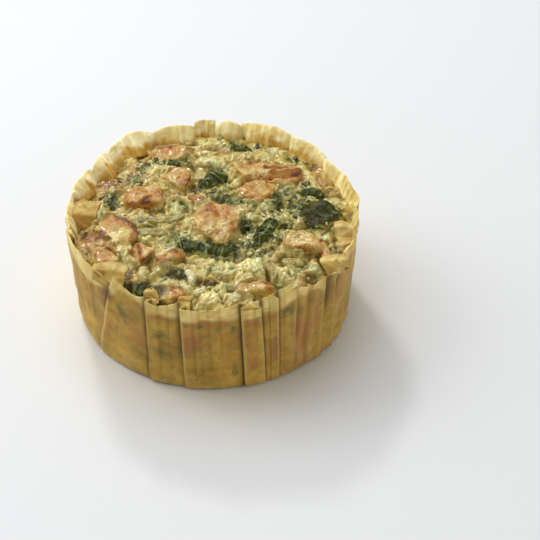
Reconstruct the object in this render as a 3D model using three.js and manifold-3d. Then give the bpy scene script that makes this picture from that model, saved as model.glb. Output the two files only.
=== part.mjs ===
// A spinach and salmon quiche, baked in a pleated paper case that it is sold in.
// Millimetres, +Z up. The origin is the middle of the case's underside, which lies on z = 0.
//
// The case is a thin round cup: a base disc and a wall whose spare paper is laid in knife pleats.
// The custard fills it up to a low dome. Salmon chunks, spinach leaves and leek pieces are set in
// pockets of the custard's top, each a solid of its own with a small gap round it.

import * as THREE from "three";
import { mergeVertices } from "three/addons/utils/BufferGeometryUtils.js";
import Module from "manifold-3d";

const wasm = await Module();
wasm.setup();

// ---------------------------------------------------------------- driving dimensions

const RIM_RADIUS = 60; // outside of the case at its rim
const BASE_RADIUS = 56.8; // outside of the case just above its base
const CASE_HEIGHT = 48; // mean height of the paper's edge
const PAPER = 1.2; // wall of the case, several soaked layers thick
const BASE_ROUND = 1.6; // height and depth of the rounding at the base
const GAP = 0.35; // clearance between neighbouring solids

const CUSTARD_CENTRE = 46; // height of the custard's top in the middle
const CUSTARD_DROP = 5; // how much lower the custard lies at the case
const DOME_POWER = 4; // how late the dome falls away

const PLEAT_LIFT = 2.1; // how far a pleat's free edge stands off the wall
const PLEAT_LAP = 3.2; // degrees of wall that a pleat covers
const PLEAT_LIP = 0.9; // thickness of a pleat's free edge
const FLARE = 1.6; // how fast a pleat falls back to the wall along its panel
const RAGGED = { height: 0.5, wave: 0.55, turn: 1.9 }; // unevenness of the paper's edge
const RIPPLE = { depth: 0.12, waves: 7 }; // unevenness of a panel's face

// ---------------------------------------------------------------- the case's pleats

const NEXT_OVER = 1; // the panel that starts here laps over the one before
const LAST_OVER = -1; // the panel that ends here laps over the next
const SOFT = 0; // a crease with no lap

// Panels anticlockwise from the left: start angle at the rim, how many degrees further round the
// pleat starts at the base, lap at the start, lift there as a share of PLEAT_LIFT, how far the rim
// leans out, and the height of the paper's edge at the start, middle and end.
const PANELS = [
  { start: -168, slant: 0, lap: NEXT_OVER, lift: 0.7, lean: -0.4, edge: [48.8, 51.2, 51.2] },
  { start: -145, slant: -2, lap: SOFT, lift: 0.6, lean: -0.8, edge: [50.4, 47.4, 47.6] },
  { start: -130.5, slant: -11, lap: NEXT_OVER, lift: 1.1, lean: -0.9, edge: [49.4, 47.6, 48.6] },
  { start: -114.3, slant: -1.5, lap: NEXT_OVER, lift: 0.9, lean: -0.7, edge: [48.4, 46.4, 50] },
  { start: -101, slant: 0.4, lap: NEXT_OVER, lift: 0.8, lean: -0.5, edge: [47.8, 46.6, 48.2] },
  { start: -78.6, slant: 2.2, lap: NEXT_OVER, lift: 1.1, lean: 0, edge: [46.8, 45.6, 46.2] },
  { start: -70.8, slant: 3.2, lap: LAST_OVER, lift: 0.6, lean: -0.3, edge: [48.8, 49.8, 47.8] },
  { start: -63.6, slant: 2, lap: LAST_OVER, lift: 0.5, lean: -0.8, edge: [49.8, 50.8, 48.2] },
  { start: -55.8, slant: 1.5, lap: SOFT, lift: 0.4, lean: -0.6, edge: [48.2, 47.8, 46.6] },
  { start: -48.2, slant: 2, lap: SOFT, lift: 0.5, lean: -0.2, edge: [46.8, 47.4, 49.4] },
  { start: -43.6, slant: 3, lap: LAST_OVER, lift: 0.9, lean: 0.2, edge: [44.6, 44.8, 46.4] },
  { start: -37.5, slant: 4.5, lap: LAST_OVER, lift: 0.9, lean: 0.2, edge: [47.4, 47.8, 48.2] },
  { start: -27.5, slant: 3, lap: LAST_OVER, lift: 1, lean: 0.2, edge: [47.6, 48.2, 48.6] },
  { start: -12, slant: 0, lap: LAST_OVER, lift: 0.6, lean: 0.3, edge: [48.2, 48.4, 48.6] },
  { start: 5, slant: 0, lap: NEXT_OVER, lift: 0.5, lean: 0.3, edge: [48.4, 48.4, 45.4] },
  { start: 38.5, slant: 0, lap: NEXT_OVER, lift: 0.8, lean: 0.1, edge: [44.4, 47.6, 48.4] },
  { start: 57, slant: 0, lap: SOFT, lift: 0.4, lean: 0.2, edge: [48.6, 49, 47.6] },
  { start: 79, slant: 0, lap: LAST_OVER, lift: 0.6, lean: 0.2, edge: [47.4, 49.2, 45.6] },
  { start: 90.5, slant: 0, lap: NEXT_OVER, lift: 0.8, lean: 0.4, edge: [48.6, 49.2, 48.8] },
  { start: 99, slant: 0, lap: LAST_OVER, lift: 0.7, lean: 0.1, edge: [46, 49, 49.8] },
  { start: 118, slant: 0, lap: NEXT_OVER, lift: 0.6, lean: -0.2, edge: [49, 51.2, 47.6] },
  { start: 139, slant: 0, lap: LAST_OVER, lift: 0.5, lean: -0.2, edge: [48.6, 47.8, 48.4] },
  { start: 152, slant: 0, lap: NEXT_OVER, lift: 0.5, lean: 0, edge: [48.2, 49.2, 49] },
  { start: 170, slant: 0, lap: SOFT, lift: 0.3, lean: 0, edge: [48.8, 49, 49.2] },
];

// Heights at which the wall has a ring, as shares of the edge's height, and how much of the
// pleats' lift and of the rim's lean each ring has.
const WALL_RINGS = [
  { height: 0, lift: 0.15, lean: 0 },
  { height: 0.034, lift: 0.5, lean: 0 },
  { height: 0.5, lift: 0.75, lean: 0 },
  { height: 0.88, lift: 0.95, lean: 0 },
  { height: 1, lift: 1.1, lean: 1 },
];
const PANEL_STEP = 7; // degrees between the points of a panel
const INNER_POINTS = 96; // points round the inside of the wall
const LIP_SHARE = 0.45; // most of a pleat's lift that its free edge is thick

// ---------------------------------------------------------------- what lies in the top

// Salmon: x, y, the block's width, depth and height, its turn in degrees, how far its top stands
// above the custard, and its tilt about its own length. A chunk is one or more blocks fused.
const SALMON = {
  salmon_centre: [{ x: 1.6, y: -6, size: [21, 19, 13], turn: -32, proud: 3.6, tilt: 4 }],
  salmon_left: [{ x: -28.6, y: 9.4, size: [18, 14, 11], turn: 12, proud: 3.2, tilt: -6 }],
  salmon_upper_left: [{ x: -15.2, y: 23, size: [13, 11.5, 10], turn: -40, proud: 2.8, tilt: 8 }],
  salmon_back_left: [{ x: -19.4, y: 41.2, size: [19, 10, 7], turn: 8, proud: 1.6, tilt: 0 }],
  salmon_case_left: [{ x: -40, y: -9.4, size: [19, 14, 11], turn: -42, proud: 2.6, tilt: 14 }],
  salmon_low_left: [{ x: -28.4, y: -24, size: [11, 8, 8], turn: 58, proud: 2, tilt: 6 }],
  salmon_strip: [{ x: -16.8, y: -27.6, size: [13, 4.6, 6], turn: 28, proud: 2.3, tilt: 8 }],
  salmon_right: [{ x: 37.6, y: -19.4, size: [17.5, 14, 11], turn: -10, proud: 3.2, tilt: -4 }],
  salmon_flake: [
    { x: 22.5, y: 27, size: [29, 13, 8], turn: -10, proud: 2.2, tilt: 6 },
    { x: 17.6, y: 15, size: [17, 15, 8], turn: -34, proud: 2, tilt: -4 },
  ],
  salmon_front: [{ x: 17.2, y: -45, size: [15, 8, 8], turn: 14, proud: 2.4, tilt: -8 }],
  salmon_front_left: [{ x: -13.8, y: -48.4, size: [7, 6, 6.5], turn: 30, proud: 2.2, tilt: 0 }],
  salmon_crumb_left: [{ x: -43, y: -25.4, size: [9.5, 9, 8], turn: 20, proud: 1.8, tilt: 4 }],
  salmon_crumb: [{ x: -6.2, y: 8.6, size: [5.5, 6, 5], turn: 35, proud: 1.4, tilt: 0 }],
};
const BLOCK_POWER = 4.2; // how square a chunk is
const SMALL_CHUNK = 12; // up to this length a chunk has fewer faces
const BULGE = { broad: 0.07, narrow: 0.05 }; // unevenness of a chunk, as shares of its size
const FLAKE_DEPTH = 0.5; // depth of the steps between a chunk's flakes
const FLAKE_PITCH = 3.2; // distance from one flake to the next
const FLAKE_START = 100.5; // keeps the count of flakes positive, with half a flake in the middle

// Spinach: x, y, length, width, turn in degrees, how far it stands proud, and how much it waves.
const SPINACH = {
  spinach_right: { x: 44.6, y: 1.6, length: 19, width: 17.5, turn: 38, proud: 1.9, wave: 0.9 },
  spinach_upper: { x: -0.2, y: 22.4, length: 15, width: 11, turn: 50, proud: 1.3, wave: 0.9 },
  spinach_middle: { x: -2.4, y: -21.6, length: 26, width: 9, turn: -10, proud: 1, wave: 0.6 },
  spinach_back: { x: 11, y: 45.8, length: 10, width: 6.5, turn: -14, proud: 1, wave: 0.5 },
  spinach_fold: { x: 22, y: -11.8, length: 17, width: 9, turn: 66, proud: 1.5, wave: 0.9 },
  spinach_front_left: { x: -26.8, y: -45, length: 9, width: 6, turn: -28, proud: 0.8, wave: 0.5 },
  spinach_back_left: { x: -17.4, y: 34.4, length: 7, width: 3.8, turn: -24, proud: 0.9, wave: 0.3 },
  spinach_curl: { x: 41.5, y: 14.6, length: 11, width: 6, turn: -8, proud: 1.3, wave: 0.6 },
};
const LEAF_THICKNESS = 0.8;
const LEAF_STEPS = { along: 6, across: 4 };
const LEAF_END = 2.6; // how blunt a leaf's ends are
const LEAF_TIP = 0.02; // share of the length that is cut off at each end
const LEAF_JAG = { depth: 0.12, wave: 9 }; // unevenness of a leaf's border
const LEAF_WAVE = { along: 0.55, across: 0.7 }; // radians of ripple to the millimetre
const POCKET_RISE = 1.4; // how much more a leaf's pocket grows upward than sideways

// Leek: x, y, length, thickness, turn, how far it stands proud, and how far it bends sideways.
const LEEK = {
  leek_stick: { x: -25, y: -12.4, length: 13.5, thick: 5.4, turn: -8, proud: 1.9, bend: 0.4 },
  leek_curve: { x: -18.8, y: -4, length: 18, thick: 4.6, turn: 8, proud: 1.5, bend: 3 },
  leek_white: { x: -8, y: -38, length: 9, thick: 3.4, turn: 104, proud: 1.2, bend: 0.8 },
  leek_ring: { x: -4, y: -46.4, length: 6, thick: 3.6, turn: 30, proud: 1.2, bend: 0.8 },
};
const LEEK_SECTIONS = 6;
const LEEK_SIDES = 8;
const LEEK_END = 5; // how blunt a piece of leek ends
const WAIST = { depth: 0.06, wave: 3 }; // how a piece of leek swells and narrows

const POCKET_GAP = 1.6 * GAP; // clearance round a piece in the custard's pocket

// Mounds of curd and hollows of the custard's top: x, y, half their length and width, the turn of
// the length in degrees, and the height.
const MOUNDS = [
  { x: 14, y: -35, long: 8, wide: 4.5, turn: 8, height: 1.3 },
  { x: 33, y: -36, long: 8, wide: 4.5, turn: -6, height: 1.4 },
  { x: 24, y: -29.5, long: 3, wide: 2.2, turn: 0, height: 1 },
  { x: -2, y: 36.6, long: 5, wide: 4.5, turn: 0, height: 1.3 },
  { x: 5, y: -49.5, long: 8, wide: 3.5, turn: 0, height: 1.2 },
  { x: -14, y: 5, long: 6, wide: 6, turn: 0, height: 0.7 },
  { x: -26, y: -34, long: 6, wide: 3.5, turn: 10, height: 1.1 },
  { x: -37, y: -21, long: 3, wide: 5, turn: 0, height: 1 },
  { x: -44, y: -35, long: 4, wide: 3, turn: 0, height: 0.6 },
  { x: 22, y: -22, long: 3, wide: 2.2, turn: 0, height: 0.8 },
  { x: -20, y: -48, long: 5, wide: 3, turn: 10, height: 1 },
  { x: 33, y: 9, long: 5, wide: 5, turn: 0, height: 0.8 },
  { x: 37, y: 33, long: 8, wide: 6, turn: -40, height: 0.6 },
  { x: -38, y: 28, long: 8, wide: 4, turn: 40, height: 0.6 },
  { x: 22, y: -38, long: 1, wide: 6, turn: 10, height: -1.8 },
  { x: -28, y: -44.5, long: 8, wide: 4, turn: -20, height: -1.8 },
  { x: -12, y: -38, long: 6, wide: 6, turn: 0, height: -1.2 },
  { x: 14, y: -10, long: 3, wide: 3, turn: 0, height: -1 },
  { x: -2, y: -40, long: 7, wide: 2.5, turn: 15, height: -0.8 },
  { x: 28, y: 4, long: 2, wide: 6, turn: 0, height: -1 },
  { x: -50, y: -15, long: 4, wide: 6, turn: 0, height: -1 },
];

const COLOURS = {
  paper: { color: 0xc9a555, roughness: 0.55 },
  custard: { color: 0xa9a765, roughness: 0.6 },
  salmon: { color: 0xd39a68, roughness: 0.5 },
  spinach: { color: 0x2f4a26, roughness: 0.4 },
  leek: { color: 0xb9bf86, roughness: 0.4 },
};

// ---------------------------------------------------------------- small helpers

const radians = THREE.MathUtils.degToRad;
const mix = THREE.MathUtils.lerp;

// A gentle unevenness from -1 to 1 of a place along some length.
const uneven = (place, phase) =>
  0.6 * Math.sin(place + phase) + 0.4 * Math.sin(2.3 * place + 1.7 * phase + 1);

// A three.js geometry as a solid that can be cut.
function toSolid(geometry) {
  const bare = new THREE.BufferGeometry();
  bare.setAttribute("position", geometry.getAttribute("position").clone());
  if (geometry.index) bare.setIndex(geometry.index.clone());
  const merged = mergeVertices(bare, 1e-4);
  return new wasm.Manifold(
    new wasm.Mesh({
      numProp: 3,
      vertProperties: new Float32Array(merged.getAttribute("position").array),
      triVerts: new Uint32Array(merged.index.array),
    }),
  );
}

// A cut solid as a three.js geometry.
function toGeometry(solid) {
  const mesh = solid.getMesh();
  const geometry = new THREE.BufferGeometry();
  const positions = new Float32Array(mesh.vertProperties);
  geometry.setAttribute("position", new THREE.BufferAttribute(positions, 3));
  geometry.setIndex(new THREE.BufferAttribute(new Uint32Array(mesh.triVerts), 1));
  geometry.computeVertexNormals();
  return geometry;
}

// A geometry from a list of points and a list of triangles.
function fromFaces(points, faces) {
  const geometry = new THREE.BufferGeometry();
  const positions = points.flatMap((point) => point.toArray());
  geometry.setAttribute("position", new THREE.Float32BufferAttribute(positions, 3));
  geometry.setIndex(faces.flat());
  return geometry;
}

// ---------------------------------------------------------------- forms that pieces share

// The outside radius of the plain wall at a height.
function wallRadius(z) {
  const straight = mix(BASE_RADIUS, RIM_RADIUS, z / CASE_HEIGHT);
  const below = Math.max(0, BASE_ROUND - z) / BASE_ROUND;
  return straight - BASE_ROUND * (1 - Math.sqrt(1 - below * below));
}

// The height of the custard's plain dome.
function domeHeight(x, y) {
  return CUSTARD_CENTRE - CUSTARD_DROP * (Math.hypot(x, y) / RIM_RADIUS) ** DOME_POWER;
}

// The height of the custard's top: the dome with its mounds and hollows.
function custardTop(x, y) {
  return MOUNDS.reduce((height, mound) => {
    const angle = radians(mound.turn);
    const [dx, dy] = [x - mound.x, y - mound.y];
    const along = (dx * Math.cos(angle) + dy * Math.sin(angle)) / mound.long;
    const across = (dy * Math.cos(angle) - dx * Math.sin(angle)) / mound.wide;
    return height + mound.height * Math.exp(-along * along - across * across);
  }, domeHeight(x, y));
}

// ---------------------------------------------------------------- the case

// The panel after one, and the angle at which the two meet.
const nextPanel = (index) => PANELS[(index + 1) % PANELS.length];
const panelEnd = (index) => nextPanel(index).start + (index + 1 < PANELS.length ? 0 : 360);
const panelWidth = (index) => panelEnd(index) - PANELS[index].start;

// The panel round an angle, and how far along it the angle lies.
function panelAt(angle) {
  const index = PANELS.findIndex((panel, i) => angle >= panel.start && angle < panelEnd(i));
  return { index, along: (angle - PANELS[index].start) / panelWidth(index) };
}

// The height of a panel's paper edge, through its start, middle and end.
function edgeHeight(index, along) {
  const [start, middle, end] = PANELS[index].edge;
  const atStart = (1 - along) * (1 - 2 * along);
  const atMiddle = 4 * along * (1 - along);
  const atEnd = along * (2 * along - 1);
  const ragged = uneven(along * panelWidth(index) * RAGGED.wave, index * RAGGED.turn);
  return start * atStart + middle * atMiddle + end * atEnd + RAGGED.height * ragged;
}

// How far a panel's outside stands off the plain wall, as a share of PLEAT_LIFT.
function panelLift(index, along) {
  const here = PANELS[index];
  const next = nextPanel(index);
  const atStart = here.lap === LAST_OVER ? 0 : here.lift;
  const atEnd = next.lap === NEXT_OVER ? 0 : next.lift;
  const ripple = RIPPLE.depth * (1 + Math.sin(RIPPLE.waves * along + index));
  return atStart * (1 - along) ** FLARE + atEnd * along ** FLARE + ripple;
}

// The wall's outline, anticlockwise: each point has its angle, its lift and its panel. A lap adds
// the end of the slit under the pleat and the two corners of the pleat's free edge.
function outlinePoints() {
  const points = [];
  PANELS.forEach((panel, index) => {
    const next = nextPanel(index);
    const end = panelEnd(index);
    const from = panel.lap === LAST_OVER ? panel.start : panel.start + PLEAT_LAP;
    const to = next.lap === LAST_OVER ? end - PLEAT_LAP : end;
    const add = (angle, lift, trim = 0) =>
      points.push({ angle, lift, trim, index, along: (angle - panel.start) / (end - panel.start) });

    if (panel.lap === NEXT_OVER) {
      add(panel.start, panelLift(index, 0), PLEAT_LIP);
      add(panel.start, panelLift(index, 0));
    } else if (panel.lap === SOFT) {
      add(panel.start, panelLift(index, 0));
    }
    const steps = Math.max(1, Math.round((to - from) / PANEL_STEP));
    const firstStep = panel.lap === LAST_OVER ? 1 : 0;
    const lastStep = next.lap === NEXT_OVER ? steps - 1 : steps;
    for (let step = firstStep; step <= lastStep; step++) {
      const angle = mix(from, to, step / steps);
      add(angle, panelLift(index, (angle - panel.start) / (end - panel.start)));
    }
    if (next.lap === NEXT_OVER) {
      add(end + PLEAT_LAP, 0);
    } else if (next.lap === LAST_OVER) {
      add(end, panelLift(index, 1));
      add(end, panelLift(index, 1), PLEAT_LIP);
      add(end - PLEAT_LAP, 0);
    }
  });
  return points;
}

// A point at a distance from the axis, an angle in degrees and a height.
function polar(radius, degrees, z) {
  return new THREE.Vector3(radius * Math.cos(radians(degrees)), radius * Math.sin(radians(degrees)), z);
}

// One point of the wall's outside on a ring.
function wallPoint(point, ring) {
  const along = THREE.MathUtils.clamp(point.along, 0, 1);
  const panel = PANELS[point.index];
  const z = ring.height * edgeHeight(point.index, along);
  const lift = PLEAT_LIFT * ring.lift * point.lift;
  const lip = Math.min(point.trim, LIP_SHARE * lift);
  const slant = (1 - ring.height) * mix(panel.slant, nextPanel(point.index).slant, along);
  return polar(wallRadius(z) + ring.lean * panel.lean + lift - lip, point.angle + slant, z);
}

// One point of the wall's inside on a ring.
function innerPoint(step, ring) {
  const degrees = PANELS[0].start + (360 * step) / INNER_POINTS;
  const { index, along } = panelAt(degrees);
  const z = ring.height * edgeHeight(index, along);
  return polar(wallRadius(z) - PAPER + ring.lean * PANELS[index].lean, degrees, z);
}

// The pleated wall, a closed band from the base to the paper's edge.
function caseWall() {
  const outline = outlinePoints();
  const outer = WALL_RINGS.map((ring) => outline.map((point) => wallPoint(point, ring)));
  const inner = WALL_RINGS.map((ring) =>
    Array.from({ length: INNER_POINTS }, (_, step) => innerPoint(step, ring)),
  );
  const outerCount = outline.length;
  const ringSize = outerCount + INNER_POINTS;
  const points = WALL_RINGS.flatMap((_, r) => [...outer[r], ...inner[r]]);
  const faces = [];
  for (let ring = 0; ring + 1 < WALL_RINGS.length; ring++) {
    for (let i = 0; i < outerCount; i++) {
      const a = ring * ringSize + i;
      const b = ring * ringSize + ((i + 1) % outerCount);
      faces.push([a, b, b + ringSize], [a, b + ringSize, a + ringSize]);
    }
    for (let i = 0; i < INNER_POINTS; i++) {
      const a = ring * ringSize + outerCount + i;
      const b = ring * ringSize + outerCount + ((i + 1) % INNER_POINTS);
      faces.push([b, a, a + ringSize], [b, a + ringSize, b + ringSize]);
    }
  }
  const flat = (list) => list.map((p) => new THREE.Vector2(p.x, p.y));
  const topRing = (WALL_RINGS.length - 1) * ringSize;
  // The section is the same on every ring, so one triangulation closes both ends.
  const hole = flat(inner.at(-1)).reverse();
  const section = THREE.ShapeUtils.triangulateShape(flat(outer.at(-1)), [hole]);
  const place = (k) => (k < outerCount ? k : outerCount + (INNER_POINTS - 1 - (k - outerCount)));
  for (const [a, b, c] of section) {
    faces.push([place(a) + topRing, place(b) + topRing, place(c) + topRing]);
    faces.push([place(c), place(b), place(a)]);
  }
  return toSolid(fromFaces(points, faces));
}

// The case: its wall and its base disc in one piece.
function bakingCase() {
  const reach = BASE_RADIUS - BASE_ROUND - PAPER / 2;
  const base = new THREE.CylinderGeometry(reach + PAPER, reach, PAPER, INNER_POINTS);
  base.rotateX(Math.PI / 2);
  base.translate(0, 0, PAPER / 2);
  return caseWall().add(toSolid(base));
}

// ---------------------------------------------------------------- the custard

const TOP_CELLS = 32; // cells of the top's grid each way

// A square's point on the disc, with cells of nearly even size.
function squareToDisc(u, v) {
  if (u === 0 && v === 0) return [0, 0];
  const [radius, angle] =
    Math.abs(u) > Math.abs(v)
      ? [u, (Math.PI / 4) * (v / u)]
      : [v, Math.PI / 2 - (Math.PI / 4) * (u / v)];
  return [radius * Math.cos(angle), radius * Math.sin(angle)];
}

// The custard before its pockets: lumpy on top, fitted to the inside of the case elsewhere.
function custardBody() {
  const count = TOP_CELLS + 1;
  const reach = wallRadius(CUSTARD_CENTRE - CUSTARD_DROP) - PAPER - GAP;
  const foot = PAPER + GAP;
  const footRadius = wallRadius(BASE_ROUND + PAPER) - PAPER - GAP;
  const points = [];
  const faces = [];
  const at = (i, j) => j * count + i;
  for (let j = 0; j < count; j++) {
    for (let i = 0; i < count; i++) {
      const [u, v] = squareToDisc((2 * i) / TOP_CELLS - 1, (2 * j) / TOP_CELLS - 1);
      points.push(new THREE.Vector3(u * reach, v * reach, custardTop(u * reach, v * reach)));
    }
  }
  for (let j = 0; j < TOP_CELLS; j++) {
    for (let i = 0; i < TOP_CELLS; i++) {
      const [a, b, c, d] = [at(i, j), at(i + 1, j), at(i + 1, j + 1), at(i, j + 1)];
      if ((i + j) % 2) faces.push([a, b, c], [a, c, d]);
      else faces.push([a, b, d], [b, c, d]);
    }
  }
  const border = [];
  for (let i = 0; i < TOP_CELLS; i++) border.push(at(i, 0));
  for (let j = 0; j < TOP_CELLS; j++) border.push(at(TOP_CELLS, j));
  for (let i = TOP_CELLS; i > 0; i--) border.push(at(i, TOP_CELLS));
  for (let j = TOP_CELLS; j > 0; j--) border.push(at(0, j));

  const footStart = points.length;
  for (const index of border) {
    const direction = points[index].clone().setZ(0).normalize();
    points.push(direction.multiplyScalar(footRadius).setZ(foot));
  }
  const middle = points.push(new THREE.Vector3(0, 0, foot)) - 1;
  border.forEach((upper, k) => {
    const nextUpper = border[(k + 1) % border.length];
    const lower = footStart + k;
    const nextLower = footStart + ((k + 1) % border.length);
    faces.push([upper, lower, nextLower], [upper, nextLower, nextUpper]);
    faces.push([middle, nextLower, lower]);
  });
  return toSolid(fromFaces(points, faces));
}

// ---------------------------------------------------------------- salmon, spinach and leek

// A rounded block with the low steps of salmon flakes, grown by a margin where asked.
function flakedBlock({ x, y, size, turn, proud, tilt }, seed, margin) {
  const block = new THREE.IcosahedronGeometry(1, size[0] > SMALL_CHUNK ? 2 : 1);
  const place = block.getAttribute("position");
  const half = new THREE.Vector3(...size).multiplyScalar(0.5);
  for (let i = 0; i < place.count; i++) {
    const way = new THREE.Vector3().fromBufferAttribute(place, i).normalize();
    const spread = way.toArray().reduce((sum, part) => sum + Math.abs(part) ** BLOCK_POWER, 0);
    const broad = BULGE.broad * uneven(3 * way.x + 2 * way.y, seed);
    const narrow = BULGE.narrow * uneven(4 * way.y, seed + 2);
    const point = way.clone().multiply(half);
    point.multiplyScalar(spread ** (-1 / BLOCK_POWER) * (1 + broad + narrow));
    const step = Math.abs(((point.x / FLAKE_PITCH + FLAKE_START) % 1) - 0.5) * 2;
    point.addScaledVector(way, margin - FLAKE_DEPTH * (1 - step) * Math.max(0, way.z));
    place.setXYZ(i, ...point.toArray());
  }
  block.rotateX(radians(tilt));
  block.rotateZ(radians(turn));
  block.translate(x, y, domeHeight(x, y) + proud - half.z);
  return toSolid(block);
}

// A salmon chunk: its blocks fused.
function salmonChunk(blocks, seed, margin = 0) {
  return blocks.map((block, i) => flakedBlock(block, seed + 3 * i, margin)).reduce((a, b) => a.add(b));
}

// Which way a row of points grows: out at both ends and not at all between them.
const outward = (step, steps) => (step === 0 ? -1 : step === steps ? 1 : 0);

// The outline of a leaf: half its width at a place along it, as a share.
const leafOutline = (along) => Math.sqrt(Math.max(0, 1 - Math.abs(2 * along - 1) ** LEAF_END));

// A thin wavy leaf that follows the custard, both faces split alike.
function spinachLeaf({ x, y, length, width, turn, proud, wave }, seed, margin = 0) {
  const { along, across } = LEAF_STEPS;
  const cos = Math.cos(radians(turn));
  const sin = Math.sin(radians(turn));
  const points = [];
  const row = across + 1;
  const layer = (along + 1) * row;
  const rise = POCKET_RISE * margin;
  for (const shift of [rise, -LEAF_THICKNESS - rise]) {
    for (let i = 0; i <= along; i++) {
      for (let j = 0; j <= across; j++) {
        const s = mix(LEAF_TIP, 1 - LEAF_TIP, i / along);
        const t = (2 * j) / across - 1;
        const jag = 1 + LEAF_JAG.depth * uneven(LEAF_JAG.wave * s, seed);
        const u = (s - 0.5) * length;
        const v = (t * leafOutline(s) * jag * width) / 2;
        const endward = u + margin * outward(i, along);
        const sideward = v + margin * outward(j, across);
        const px = x + endward * cos - sideward * sin;
        const py = y + endward * sin + sideward * cos;
        const roll = 0.7 * Math.sin(LEAF_WAVE.across * v + seed) - 0.9 * t * t;
        const ripple = wave * (uneven(LEAF_WAVE.along * u, seed) + roll);
        points.push(new THREE.Vector3(px, py, domeHeight(px, py) + proud + ripple + shift));
      }
    }
  }
  const faces = [];
  const quad = (a, b, c, d) => faces.push([a, b, c], [a, c, d]);
  for (let i = 0; i < along; i++) {
    for (let j = 0; j < across; j++) {
      const a = i * row + j;
      const b = a + layer;
      quad(a, a + row, a + row + 1, a + 1);
      faces.push([b, b + row + 1, b + row], [b, b + 1, b + row + 1]);
    }
  }
  for (let i = 0; i < along; i++) {
    const low = i * row;
    const high = i * row + across;
    quad(low, low + layer, low + row + layer, low + row);
    quad(high, high + row, high + row + layer, high + layer);
  }
  for (let j = 0; j < across; j++) {
    const last = along * row + j;
    quad(j, j + 1, j + 1 + layer, j + layer);
    quad(last, last + layer, last + 1 + layer, last + 1);
  }
  return toSolid(fromFaces(points, faces));
}

// A round piece of leek that bends sideways, with domed ends.
function leekPiece({ x, y, length, thick, turn, proud, bend }, seed, margin = 0) {
  const profile = [];
  for (let i = 0; i <= LEEK_SECTIONS; i++) {
    const end = Math.cos((Math.PI * i) / LEEK_SECTIONS);
    const radius = (thick / 2 + margin) * Math.sqrt(1 - Math.abs(end) ** LEEK_END);
    const reach = (-end * (length + 2 * margin)) / 2;
    profile.push(new THREE.Vector2(i % LEEK_SECTIONS ? radius : 0, reach));
  }
  const piece = new THREE.LatheGeometry(profile, LEEK_SIDES);
  piece.rotateZ(-Math.PI / 2);
  const place = piece.getAttribute("position");
  for (let i = 0; i < place.count; i++) {
    const share = (2 * place.getX(i)) / length;
    const waist = 1 + WAIST.depth * uneven(WAIST.wave * share, seed);
    const sideways = place.getY(i) * waist + bend * share * share;
    place.setXYZ(i, place.getX(i), sideways, place.getZ(i) * waist);
  }
  piece.rotateZ(radians(turn));
  piece.translate(x, y, domeHeight(x, y) + proud - thick / 2);
  return toSolid(piece);
}

// ---------------------------------------------------------------- the assembly

const group = new THREE.Group();

// One solid under its own name, in the colour of its finish.
function addNode(name, solid, finish) {
  const material = new THREE.MeshStandardMaterial({ ...COLOURS[finish], metalness: 0 });
  const mesh = new THREE.Mesh(toGeometry(solid), material);
  mesh.name = name;
  group.add(mesh);
}

// The largest piece of a cut solid, without any scrap that a cut left loose.
function withoutScraps(solid) {
  return solid.decompose().reduce((a, b) => (a.volume() > b.volume() ? a : b));
}

const MAKERS = [
  { pieces: SALMON, make: salmonChunk, finish: "salmon" },
  { pieces: SPINACH, make: spinachLeaf, finish: "spinach" },
  { pieces: LEEK, make: leekPiece, finish: "leek" },
];

addNode("baking_case", bakingCase(), "paper");

// Each piece is cut clear of the ones before it, so leaves tuck under chunks, and every piece
// leaves its pocket in the custard.
let pockets = null;
for (const { pieces, make, finish } of MAKERS) {
  Object.entries(pieces).forEach(([name, sizes], seed) => {
    const piece = make(sizes, seed);
    addNode(name, withoutScraps(pockets ? piece.subtract(pockets) : piece), finish);
    const pocket = make(sizes, seed, POCKET_GAP);
    pockets = pockets ? pockets.add(pocket) : pocket;
  });
}
addNode("custard", withoutScraps(custardBody().subtract(pockets)), "custard");

export default group;
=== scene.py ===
"""Looks for a spinach and salmon quiche in its pleated paper case.

Lengths inside the classes are millimetres in the part's own frame and are turned into metres when
a mesh is written. The case, the custard and each piece in it stand for the solid of the same place.
"""

from __future__ import annotations

import itertools
import logging
import math
from dataclasses import astuple, dataclass, field
from enum import Enum
from typing import Sequence

import bpy
import numpy as np
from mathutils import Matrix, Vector


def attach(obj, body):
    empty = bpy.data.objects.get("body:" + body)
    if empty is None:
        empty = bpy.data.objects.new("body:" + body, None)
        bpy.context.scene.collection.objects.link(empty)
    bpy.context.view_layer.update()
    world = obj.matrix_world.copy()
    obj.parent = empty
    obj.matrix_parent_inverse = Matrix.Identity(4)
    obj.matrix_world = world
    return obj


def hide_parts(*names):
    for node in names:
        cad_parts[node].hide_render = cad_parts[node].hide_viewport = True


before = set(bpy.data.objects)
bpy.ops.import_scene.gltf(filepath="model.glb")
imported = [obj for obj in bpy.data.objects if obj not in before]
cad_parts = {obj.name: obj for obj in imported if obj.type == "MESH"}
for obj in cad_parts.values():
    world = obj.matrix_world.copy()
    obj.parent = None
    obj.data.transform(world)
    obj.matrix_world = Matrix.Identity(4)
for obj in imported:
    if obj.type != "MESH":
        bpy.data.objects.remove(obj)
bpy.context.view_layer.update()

LOG = logging.getLogger("quiche")
MM = 0.001

# ------------------------------------------------------------------ sizes shared with the solids

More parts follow.
